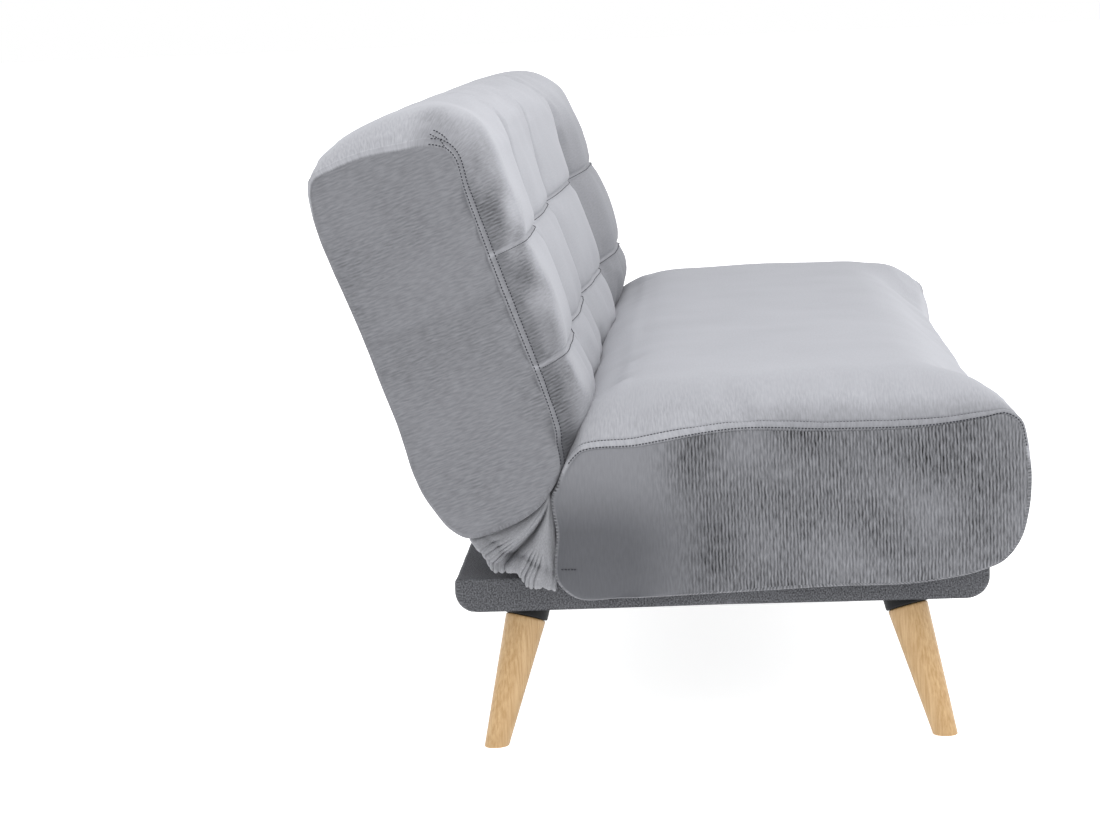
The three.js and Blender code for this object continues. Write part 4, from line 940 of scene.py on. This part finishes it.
def buildBase():
    shape = baseShape
    outline, turns, span = baseOutline(shape)
    near = np.array([0, 0.0008, 0.0018, 0.003, 0.0045, 0.007, 0.011, 0.018, 0.03, 0.05])
    ends = np.unique(np.round(np.concatenate([shape["halfWidth"] - near, np.linspace(0, 0.8, 41)]), 5))
    places = ringPlaces(np.concatenate([-ends[:0:-1], ends]))
    x = np.clip(places, -shape["halfWidth"], shape["halfWidth"])
    points = np.stack(np.broadcast_arrays(x[:, None], outline[None, :, 0], outline[None, :, 1]), 2).copy()
    points = panelled(points, places, shape)
    normal = gridNormals(points)
    past = fromEnd(places, shape)[1]
    isUnder = points[..., 2] < shape["under"] + 0.001
    relief = 0.0006 * softNoise(points, 0.12, 8) * ~isUnder - 0.0008 * ridge(past, 0.004) * (past > 0)
    points = points + normal * relief[..., None]
    low, high = shape["windowDepth"]  # the dust cover lies in a shallow recess of the underside
    inWindow = (np.abs(points[..., 0]) < shape["windowHalf"]) & (points[..., 1] > low) & (points[..., 1] < high)
    points[..., 2] += shape["recess"] * (isUnder & inWindow)
    isPanel, sleeveMap = sleeveLayout(places, turns, span, shape["halfWidth"])
    panelMap = np.stack([points[..., 2], points[..., 1]], 2)
    piece = closedShell("baseWrap", points, isPanel, panelMap, sleeveMap, cloths["fleckedTweed"])
    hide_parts("base_cover")
    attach(piece, "base")


buildBase()
print("base wrapped")

# Topstitching: every stitch is a small spindle lying along its seam, its ends dipping into the cloth
threadShape = {
    "pitch": 0.0042, "length": 0.0035, "radius": 0.0008, "rowThickness": 0.6, "edgeInset": 0.001,
    "closingStandOff": 0.0004,  # of the short seams at the rear of the seat's panels
    # five cross sections from end to end: place along half a stitch, thickness and height above the cloth
    "steps": (-1, -0.6, 0, 0.6, 1), "girths": (0.2, 0.85, 1, 0.85, 0.2),
    "lifts": (-0.0004, 0.0002, 0.0005, 0.0002, -0.0004),
}


def seamLine(points, normals, thick=1):
    # stitch middles, directions, outward normals and thickness at even steps along a line of points
    knots = chordPlaces(points)
    middles = np.arange(threadShape["pitch"], knots[-1] - threadShape["pitch"], threadShape["pitch"])

    def between(values, places):
        return np.stack([np.interp(places, knots, values[:, axis]) for axis in range(3)], 1)

    at = between(points, middles)
    ahead = between(points, middles + 0.001) - at
    ahead /= np.linalg.norm(ahead, axis=1, keepdims=True)
    return at, ahead, between(normals, middles), np.full(len(at), float(thick))


def sewn(name, lines, body):
    at, ahead, out, thick = (np.concatenate(parts) for parts in zip(*lines))
    side = np.cross(ahead, out)
    steps, girths, lifts = (np.array(threadShape[key]) for key in ("steps", "girths", "lifts"))
    angle = np.radians(72 * np.arange(5))
    spine = at[:, None] + ahead[:, None] * (steps * threadShape["length"] / 2)[:, None] + out[:, None] * lifts[:, None]
    ring = side[:, None, None] * np.cos(angle)[:, None] + out[:, None, None] * np.sin(angle)[:, None]
    girths = girths * threadShape["radius"]
    vertices = spine[:, :, None] + ring * girths[:, None, None] * thick[:, None, None, None]
    vertices = vertices.reshape(-1, 3)
    base = np.arange(len(at))[:, None, None] * 25
    step, turn = np.arange(4)[:, None] * 5, np.arange(5)
    following = (turn + 1) % 5
    here = base + step
    quads = np.stack([here + turn, here + following, here + 5 + following, here + 5 + turn], 3)
    caps = np.concatenate([base[:, 0] + turn[::-1], base[:, 0] + 20 + turn])
    laid = np.stack(np.broadcast_arrays(spine[..., :1] + spine[..., 2:], turn * 0.001), 3).reshape(-1, 2)
    corners = np.concatenate([quads.ravel(), caps.ravel()])
    faces = [*quads.reshape(-1, 4).tolist(), *caps.tolist()]
    mesh = clothMesh(name, vertices, faces, laid[corners], cloths["spunThread"])
    if signedVolume(vertices, quads) < 0:
        mesh.flip_normals()
    piece = addPiece(name, mesh)
    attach(piece, body)


def outwards(points):
    normals = gridNormals(points)
    middle = points.mean((0, 1))
    return normals * np.sign(((points - middle) * normals).sum())


def endSeams(points, places, wanted, shape):  # the double seam at both ends, along the wanted part of its rings
    lines = []
    normals = outwards(points)
    for sign in (-1, 1):
        for inset in (threadShape["edgeInset"], shape["seam"]):
            ring = np.argmin(np.abs(places - sign * (shape["halfWidth"] - inset)))
            lines.append(seamLine(points[ring, wanted], normals[ring, wanted]))
    return lines


def sewBack():
    shape = backShape
    across, along = backRow[:, 0], backRow[:, 1]
    wanted = np.flatnonzero((across < -0.045) & (along > 0.0))
    lines = endSeams(backPoints, backPlaces, wanted, shape)
    normals = outwards(backPoints)
    sleeve = np.flatnonzero(np.abs(backPlaces) < shape["halfWidth"] - shape["seam"] - 0.002)
    front = np.where(across < -0.03, 0, 1)
    for height in shape["rows"]:
        column = np.argmin(np.abs(along - height + shape["rowHalf"]) + front)
        lines.append(seamLine(backPoints[sleeve, column], normals[sleeve, column], threadShape["rowThickness"]))
    past = np.linspace(0, 0.85 * shape["tuck"]["reach"], 20)
    for sign in (-1, 1):
        for start in shape["tuck"]["lines"]:
            place = sign * (shape["halfWidth"] - start - shape["tuck"]["spread"] * past)
            turn = tuckStart(backTurns, backRow) + past
            lines.append(seamLine(gridAt(backPoints, place, turn), gridAt(normals, place, turn)))
    sewn("backStitches", lines, "back")


def gridAt(values, place, turn):
    # values of the back's grid between its rings and places: linear both ways
    ring = np.interp(place, backPlaces, np.arange(len(backPlaces)))
    spot = np.interp(turn, backTurns, np.arange(len(backTurns)))
    low, left = ring.astype(int), spot.astype(int)
    up, right = (ring - low)[:, None], (spot - left)[:, None]
    near = values[low, left] * (1 - right) + values[low, left + 1] * right
    far = values[low + 1, left] * (1 - right) + values[low + 1, left + 1] * right
    return near * (1 - up) + far * up


def sewSeat():
    shape = seatShape
    wanted = np.flatnonzero(seatRow[:, 1] > 0.375)
    lines = endSeams(seatPoints, seatPlaces, wanted, shape)
    surface = seatPoints.reshape(-1, 3)
    for sign in (-1, 1):  # short closing seam at the rear edge of each panel
        panel = surface[sign * surface[:, 0] > shape["halfWidth"] - 0.02]
        line = np.array([(0, y, shape["closing"]) for y in (0.15, 0.143, 0.136, 0.129, 0.122)])
        for point in line:
            nearest = np.argmin(np.hypot(*(panel - point).T[1:]))
            point[0] = panel[nearest, 0] + sign * threadShape["closingStandOff"]
        lines.append(seamLine(line, np.array([(sign, 0, 0)] * len(line))))
    sewn("seatStitches", lines, "seat")


sewBack()
sewSeat()
print("seams sewn")


# Gusset: one strip of cloth from the seat's rear edge to the back's lower edge. Its ends are gathered on an elastic
# and fan up to the crease between the end panels. First direction along the sofa, second from seat to back.
gussetShape = {
    "halfLength": 0.885, "fanX": 0.9, "thickness": 0.0016, "hemRadius": 0.004,
    "mapWidth": 0.14,
    "elastic": (0.86, 0.045, 0.0075), "ruffle": 0.007,  # share down the fan, reach, depth; how far the hem stands out
    "seatEdge": [
        (0.1595, 0.344), (0.1565, 0.326), (0.1545, 0.305), (0.1535, 0.28), (0.1525, 0.256), (0.1525, 0.238),
        (0.1545, 0.224),
    ],
    "backEdge": [
        (0.1605, 0.3445), (0.1665, 0.3285), (0.183, 0.3125), (0.2, 0.3035), (0.222, 0.2955), (0.242, 0.292),
        (0.2605, 0.2885),
    ],
    "trough": [
        (0.1545, 0.2335), (0.174, 0.236), (0.192, 0.242), (0.2105, 0.2475), (0.229, 0.2535), (0.246, 0.265),
        (0.2605, 0.2835),
    ],
    "hem": [
        (0.1556, 0.2185), (0.166, 0.222), (0.176, 0.2285), (0.1875, 0.233), (0.199, 0.2435), (0.2105, 0.2465),
        (0.222, 0.2495), (0.2297, 0.2515), (0.241, 0.264), (0.2515, 0.274), (0.2625, 0.2855),
    ],
    "lobes": [(0.27, 0.22, 0.015), (0.76, 0.19, 0.014)],  # middle, reach and height of each, seat (0) to back (1)
    "valley": (0.52, 0.075, 0.022), "valleySlant": 0.17, "tufts": [(0.272, 0.095, 0.0065), (0.645, 0.11, 0.0072)],
    "puckers": [(5.3, 0.4), (8.9, 2.1), (13.7, 4.4), (21.3, 1.2)],  # waves from seat to back, and where each starts
    "gathers": (15, 0.03),  # rounded folds at the hem from seat to back, and how unevenly they are set
    # shares down the fan between which things set in: the lobes, the valley, the hem's gathers and the fan's puckers
    "lobesFrom": (0.12, 0.6), "valleyFrom": (0.1, 0.5), "gathersFrom": (0.76, 0.93), "puckersFrom": (0.1, 0.4),
    "hemGathers": 0.003, "fanPuckers": 0.0012, "pinch": (0.0065, 0.12), "hemPinch": 0.0035, "sideDraw": 0.004,
    "rollDegrees": (15, 215), "rollRadius": (0.78, 0.34), "rollUnevenness": 0.0008,
    "waves": {"height": 0.0016, "length": 0.1, "sag": 0.0025, "reach": 0.05},  # of the strip between the fans
}


def alongLine(points, shares):
    points = np.asarray(points, float)
    knots = chordPlaces(points)
    return throughRows(knots / knots[-1], points, shares)


def puckered(shape, seatToBack, shift):
    # uneven gathers of about -1 to 1: a sum of waves whose lengths have no common measure
    first = shape["puckers"][0][0]
    waves = [first / count * np.sin(2 * np.pi * count * seatToBack + start + shift * (at + 1))
        for at, (count, start) in enumerate(shape["puckers"])]
    return sum(waves) / 1.4


def gathered(shape, seatToBack, shift):
    # 0 in the creases to 1 on the folds: rounded folds of uneven width
    count, sway = shape["gathers"]
    uneven = seatToBack + sway * np.sin(2 * np.pi * 2.6 * seatToBack + 1 + shift)
    return np.abs(np.sin(np.pi * count * uneven)) ** 0.7


def gussetEnd(shape, seatToBack):
    # fan rings from the crease down to the hem, then the hem's roll; X out to the end is positive here.
    # X = fan + two lobes - the valley between them + gathers that grow towards the hem
    down = np.concatenate([[0.02, 0.05], np.linspace(0.09, 0.8, 24), np.linspace(0.82, 1, 16)])[:, None]
    a = seatToBack[None, :]
    seatSide = alongLine(shape["seatEdge"], down[:, 0])[:, None]
    backSide = alongLine(shape["backEdge"], down[:, 0])[:, None]
    hem = alongLine(shape["hem"], seatToBack)[None]
    straight = seatSide + (backSide - seatSide) * a[..., None]
    flat = straight + (hem - straight[-1:]) * down[..., None] ** 2.4
    edge = np.sin(np.pi * a) ** 0.6
    x = shape["fanX"] - shape["sideDraw"] * (1 - edge)
    for middle, reach, height in shape["lobes"]:
        x = x + height * ridge(a - middle, reach) * smoothStep(down, *shape["lobesFrom"]) * edge
    middle, reach, depth = shape["valley"]
    slanted = a - middle - shape["valleySlant"] * (down - 0.6)
    x = x - depth * ridge(slanted, reach) * smoothStep(down, *shape["valleyFrom"])
    at, reach, depth = shape["elastic"]
    x = x - depth * ridge(down - at, reach) * edge + shape["ruffle"] * smoothStep(down, at, 1) * edge
    low = smoothStep(down, *shape["gathersFrom"])
    depth, reach = shape["pinch"]
    pinch = depth * ridge(down - at, reach) + shape["hemPinch"] * smoothStep(down, at, 1)
    folds = gathered(shape, a, 0.8 * (1 - down))
    x = x + (shape["hemGathers"] * puckered(shape, a, 1.3 * down) * low + pinch * (folds - 0.5)) * edge
    uneven = shape["fanPuckers"]
    x = x + uneven * puckered(shape, 0.6 * a, 5 * down) * edge * smoothStep(down, *shape["puckersFrom"])
    drop = uneven * puckered(shape, a, 2.6 * down) * low * edge
    fan = np.concatenate([x[..., None], flat + drop[..., None] * np.array([0.5, -0.8])], 2)
    tuft = sum(height * ridge(a - middle, reach) for middle, reach, height in shape["tufts"])
    turn = np.radians(np.linspace(*shape["rollDegrees"], 14))[:, None]
    least, extra = shape["rollRadius"]
    radius = (shape["hemRadius"] + tuft) * (least + extra * gathered(shape, a, 0))
    radius = radius + shape["rollUnevenness"] * puckered(shape, a, 1)
    rollX = fan[-1, :, 0][None] - radius * (1 - np.cos(turn)) + 0.3 * tuft * np.sin(turn)
    rollZ = fan[-1, :, 2][None] - radius * np.sin(turn) * 1.15
    rollY = fan[-1, :, 1][None] + 0.35 * radius * np.sin(turn) * (0.5 - a)
    return np.concatenate([fan, np.stack([rollX, rollY, rollZ], 2)])


def buildGusset():
    shape = gussetShape
    a = np.linspace(0, 1, 137)
    end = gussetEnd(shape, a)
    xs = crowded(-shape["halfLength"], shape["halfLength"], 141, (-shape["halfLength"], shape["halfLength"]), 0.08, 3)
    trough = alongLine(shape["trough"], a)
    away = shape["halfLength"] - np.abs(xs)
    grid = np.stack(np.broadcast_arrays(xs[:, None], trough[None, :, 0], trough[None, :, 1]), 2).copy()
    waves, inside = shape["waves"], np.sin(np.pi * a)
    sag = waves["sag"] * (puckered(shape, a, 2) * inside)[None] * np.exp(-away / waves["reach"])[:, None]
    rise = waves["height"] * softNoise(grid * np.array([1, 0.3, 0.3]), waves["length"], 11) * inside[None]
    grid[..., 2] += sag + np.abs(rise)
    joined = smoothStep(away, 0, waves["reach"])[:, None]
    for axis in (1, 2):
        grid[..., axis] = grid[..., axis] * joined + end[-1, :, axis][None] * (1 - joined)
    left, right = end * np.array([-1, 1, 1]), end[::-1]
    points = np.concatenate([left, grid, right])
    rowCount, columnCount = points.shape[:2]
    start = np.arange(rowCount - 1)[:, None] * columnCount + np.arange(columnCount - 1)
    faces = np.stack([start, start + 1, start + columnCount + 1, start + columnCount], 2).reshape(-1, 4)
    stepLengths = np.linalg.norm(np.diff(points, axis=0), axis=2).mean(1)
    lengthwise = np.concatenate([[0], np.cumsum(stepLengths)])
    laid = np.stack(np.broadcast_arrays(lengthwise[:, None], a[None] * shape["mapWidth"]), 2)
    corners = panelCorners(laid)
    mesh = clothMesh("gatheredGusset", points.reshape(-1, 3), faces.tolist(), corners, cloths["gussetWeave"])
    piece = addPiece("gatheredGusset", mesh)
    solidify = piece.modifiers.new("clothThickness", "SOLIDIFY")
    solidify.thickness = shape["thickness"]
    solidify.offset = 0
    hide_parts("hinge_gusset")
    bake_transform(piece)


buildGusset()
print("gusset gathered")


# Rear panel: cloth over board, a little pillowed, with one line of stitches inside its edge
rearShape = {
    "halfWidth": 0.866, "low": 0.04, "high": 0.415, "cornerRadius": 0.012,
    "face": 0.1152, "pillow": 0.0026, "sink": 0.004, "seam": 0.0115,
}


def roundedOblong(halfWide, halfHigh, radius, count):
    # four quarter circles joined by straights, round the middle
    angle = np.radians(np.linspace(0, 90, count))
    middles = np.array([(1, 1), (-1, 1), (-1, -1), (1, -1)]) * [halfWide - radius, halfHigh - radius]
    arcs = [np.stack([x + radius * np.cos(angle + turn * np.pi / 2), z + radius * np.sin(angle + turn * np.pi / 2)], 1)
        for turn, (x, z) in enumerate(middles)]
    return np.concatenate(arcs)


def buildRearPanel():
    shape = rearShape
    halfHigh = (shape["high"] - shape["low"]) / 2
    insets = np.array([0.15, 0.02, 0, 0, 0.0006, 0.0016, 0.003, 0.006, 0.0095, 0.0105, 0.0115, 0.0125, 0.0135, 0.017,
        0.024, 0.035, 0.05, 0.07, 0.095, 0.125, 0.155, 0.175, 0.175])
    rise = 1 - (1 - np.clip(insets / halfHigh, 0, 1)) ** 2.5
    heights = shape["face"] + shape["pillow"] * rise + 0.0012 * smoothStep(insets, 0, 0.002)
    heights = heights - 0.0009 * ridge(insets - shape["seam"], 0.0012)
    heights[:3] = shape["face"] - shape["sink"]
    outline = np.stack([
        roundedOblong(shape["halfWidth"] - inset, halfHigh - inset, max(shape["cornerRadius"] - inset, 0.002), 7)
        for inset in insets
    ])
    outline[0] = outline[-1] = 0
    split = 12  # straights are cut into short steps, so the cloth keeps its evenness
    following = np.roll(outline, -1, 1)
    cuts = np.arange(split) / split
    dense = (outline[:, :, None] * (1 - cuts[:, None]) + following[:, :, None] * cuts[:, None])
    isStraight = (np.arange(outline.shape[1]) + 1) % 7 == 0
    keep = np.ones((outline.shape[1], split), bool)
    keep[~isStraight, 1:] = False
    dense = dense[:, keep]
    along = (shape["high"] + shape["low"]) / 2 + dense[..., 1]
    across = np.broadcast_to(heights[:, None], along.shape)
    y, z = leaned(across, along)
    points = np.stack([dense[..., 0], y, z], 2)
    laid = np.stack([points[..., 0], along], 2)
    bands = np.zeros(len(insets) - 1, bool)
    sleeve = np.concatenate([laid, laid[:, :1]], 1)
    piece = closedShell("backRearPanel", points, bands, laid, sleeve, cloths["chenille"])
    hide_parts("back_rear_panel")
    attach(piece, "back")
    border = np.argmin(np.abs(insets - shape["seam"]))
    line = np.concatenate([points[border], points[border, :1]])
    outward = (0, math.cos(backShape["lean"]), -math.sin(backShape["lean"]))
    sewn("rearPanelStitches", [seamLine(line, np.broadcast_to(outward, line.shape))], "back")


buildRearPanel()
print("rear panel tacked on")


# Hard finishes
hardLooks = {
    # Turned beech under satin lacquer: warm, straight grained, with short darker rays
    "satinBeech": {
        "hex": "#BD9E74", "shadeHex": "#A28052", "grainMm": (2.5, 90), "rayMm": (0.9, 5),
        "rayShare": 0.3, "roughness": 0.38,
    },
    # Sawn pine rails: dull, pale, wide grain
    "sawnPine": {
        "hex": "#D6BA8C", "shadeHex": "#B58F5C", "grainMm": (4, 160), "rayMm": (1.2, 12),
        "rayShare": 0.2, "roughness": 0.75,
    },
    # Fibreboard deck: even brown felt of fibres
    "fibreBoard": {
        "hex": "#9C7B55", "shadeHex": "#826443", "grainMm": (3, 4), "rayMm": (0.8, 1.6),
        "rayShare": 0.5, "roughness": 0.85,
    },
}


def grainedFinish(tree, look, share, tone, reliefDepth, reliefStrength, roughSpan, extra):
    # colour = base to shade by share; relief and roughness follow the tone
    colour = addNode(tree, "Mix", {"data_type": "RGBA"}, {
        0: share, 6: (*toLinear(look["hex"]), 1), 7: (*toLinear(look["shadeHex"]), 1),
    })
    relief = addNode(tree, "Bump", {}, {"Height": tone, "Distance": reliefDepth, "Strength": reliefStrength})
    rough = addNode(tree, "MapRange", {}, {
        "Value": tone, "To Min": look["roughness"] + roughSpan[0], "To Max": look["roughness"] + roughSpan[1],
    })
    shader = addNode(tree, "BsdfPrincipled", {}, {
        "Base Color": colour.outputs[2], "Normal": relief.outputs[0], "Roughness": rough.outputs["Result"], **extra,
    })
    finishMaterial(tree, shader)


def woodMaterial(name, longAxis):
    # share = noise stretched along the grain, plus short rays; longAxis is the grain's axis
    look = hardLooks[name]
    material, tree = newMaterial(name + "Along" + "XYZ"[longAxis])
    body = addNode(tree, "TexCoord", {}, {})
    tones = []
    for key, low, high in (("grainMm", 0.3, 0.72), ("rayMm", 0.55, 0.72)):
        scales = [1000 / look[key][0]] * 3
        scales[longAxis] = 1000 / look[key][1]
        stretch = addNode(tree, "Mapping", {}, {"Vector": body.outputs["Object"], "Scale": scales})
        noise = addNode(tree, "TexNoise", {}, {"Vector": stretch.outputs[0], "Scale": 1, "Detail": 3})
        tones.append(addNode(tree, "MapRange", {}, {"Value": noise.outputs[0], "From Min": low, "From Max": high}))
    share = addNode(tree, "Math", {"operation": "MULTIPLY_ADD", "use_clamp": True}, {
        0: tones[1].outputs[0], 1: look["rayShare"], 2: tones[0].outputs[0],
    })
    grainedFinish(tree, look, share.outputs[0], tones[0].outputs[0], 0.0002, 0.25, (0, 0.08), {})
    return material


mouldedLooks = {
    # Black injection moulded polypropylene of the leg wedges: fine spark texture
    "mouldedPolypropylene": {
        "hex": "#08090A", "shadeHex": "#101113", "grainMm": 1.6, "roughness": 0.5, "reliefMm": 0.08, "metal": 0,
    },
    # Moulded rubber buffers: dull and almost black
    "mouldedRubber": {
        "hex": "#1C1C1D", "shadeHex": "#28282A", "grainMm": 2.5, "roughness": 0.82, "reliefMm": 0.1, "metal": 0,
    },
    # Pressed steel with bright zinc plating: cool grey, slightly clouded
    "zincPlatedSteel": {
        "hex": "#B4B7BB", "shadeHex": "#94989E", "grainMm": 9, "roughness": 0.34, "reliefMm": 0.05, "metal": 1,
    },
    # Black spunbonded polypropylene of the dust covers: thin felt with embossed points
    "spunbondedCloth": {
        "hex": "#1B1C1F", "shadeHex": "#303236", "grainMm": 2.2, "roughness": 0.95, "reliefMm": 0.3, "metal": 0,
    },
    # Elastic jute and rubber webbing: dark with a coarse weave
    "elasticWebbing": {
        "hex": "#3E3B36", "shadeHex": "#64594A", "grainMm": 3, "roughness": 0.9, "reliefMm": 0.5, "metal": 0,
    },
}


def mouldedMaterial(name):
    # share and tone = noise of the surface's own grain size
    look = mouldedLooks[name]
    material, tree = newMaterial(name)
    body = addNode(tree, "TexCoord", {}, {})
    noise = addNode(tree, "TexNoise", {}, {
        "Vector": body.outputs["Object"], "Scale": 1000 / look["grainMm"], "Detail": 3,
    })
    tone = addNode(tree, "MapRange", {}, {"Value": noise.outputs[0], "From Min": 0.35, "From Max": 0.65}).outputs[0]
    extra = {"Metallic": look["metal"], "Specular IOR Level": 0.2}
    grainedFinish(tree, look, tone, tone, look["reliefMm"] / 1000, 0.6, (-0.04, 0.04), extra)
    return material


moulded = {name: mouldedMaterial(name) for name in mouldedLooks}
grainAxes = {"satinBeech": (2,), "sawnPine": (0, 1, 2), "fibreBoard": (0,)}
woods = {(name, axis): woodMaterial(name, axis) for name, axes in grainAxes.items() for axis in axes}


# Legs and their wedges, turned round an axis that splays outward
legShape = {
    "x": 0.795, "frontY": -0.2941, "rearY": 0.2019, "topZ": 0.161, "splay": 0.042,
    "topRadius": 0.0265, "footRadius": 0.0155, "wedgeRadius": 0.0285, "wedgeTop": 0.1847, "gap": 0.0003,
}


def legAxis(shape, sign, end):
    outward = -1 if end == "front" else 1
    top = np.array([sign * shape["x"], shape[end + "Y"], shape["topZ"]])
    foot = np.array([sign * (shape["x"] + shape["splay"]), shape[end + "Y"] + outward * shape["splay"], 0])
    up = (top - foot) / np.linalg.norm(top - foot)
    first = np.cross(up, [0, 1, 0])
    first /= np.linalg.norm(first)
    return top, up, first, np.cross(up, first)


def turnedShell(name, radii, heightsOf, axis, material):
    # rings round the axis; heightsOf gives each point's height along it, so that an end can be cut level
    top, up, first, second = axis
    angle = np.linspace(0, 2 * np.pi, 65)[:-1]
    spokes = first * np.cos(angle)[:, None] + second * np.sin(angle)[:, None]
    flat = top + spokes * radii[:, None, None]
    heights = heightsOf(flat[..., 2], up[2])
    points = flat + up * heights[..., None]
    girth = np.append(angle, 2 * np.pi)[None] * radii.max()
    laid = np.stack(np.broadcast_arrays(girth, np.concatenate([heights, heights[:, :1]], 1)), 2)
    return closedShell(name, points, np.zeros(len(radii) - 1, bool), laid[:, :-1], laid, material)


def buildLegs():
    shape = legShape
    shares = np.concatenate([[1, 1, 1, 0.9985, 0.995, 0.985], np.linspace(0.95, 0.05, 24), [0.02, 0.008, 0.002, 0, 0]])
    taper = shape["topRadius"] + (shape["footRadius"] - shape["topRadius"]) * shares
    rounding = np.array([1, 0.004, 0.0014, 0.0004] + [0] * (len(shares) - 8) + [0.0003, 0.0012, 0.004, 1])
    legRadii = np.maximum(taper - rounding, 0)
    wedgeShares = np.array([0, 0, 0.01, 0.04, 0.1, 0.3, 0.5, 0.7, 0.9, 1, 1, 1])
    wedgeRadii = shape["wedgeRadius"] - np.array([1, 0.004, 0.0012, 0.0002, 0, 0, 0, 0, 0, 0, 0.006, 1])
    wedgeRadii = np.maximum(wedgeRadii, 0)
    for end in ("front", "rear"):
        for side, sign in (("left", -1), ("right", 1)):
            axis = legAxis(shape, sign, end)
            name = f"{end}_{side}"
            leg = turnedShell("beechLeg_" + name, legRadii, lambda z, rise: -shares[:, None] * z / rise, axis,
                woods["satinBeech", 2])
            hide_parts("leg_" + name)
            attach(leg, "base")
            wedge = turnedShell("legWedge_" + name, wedgeRadii,
                lambda z, rise: shape["gap"] + wedgeShares[:, None] * ((shape["wedgeTop"] - z) / rise - shape["gap"]),
                axis, moulded["mouldedPolypropylene"])
            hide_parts("leg_wedge_" + name)
            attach(wedge, "base")


buildLegs()
print("legs turned")


# The CAD pieces that stay: frames, linkage, webbing and dust covers
def finishOf(name, lengths):
    if "webbing" in name:
        return moulded["elasticWebbing"]
    if "dust_cover" in name:
        return moulded["spunbondedCloth"]
    if "buffer" in name:
        return moulded["mouldedRubber"]
    if "deck" in name:
        return woods["fibreBoard", 0]
    if "rail" in name or "block" in name:
        return woods["sawnPine", int(np.argmax(lengths))]
    return moulded["zincPlatedSteel"]


for name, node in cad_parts.items():
    low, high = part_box(name)
    for holder in node.material_slots:
        holder.material = finishOf(name, np.array(high) - np.array(low))
print("frames and linkage finished")
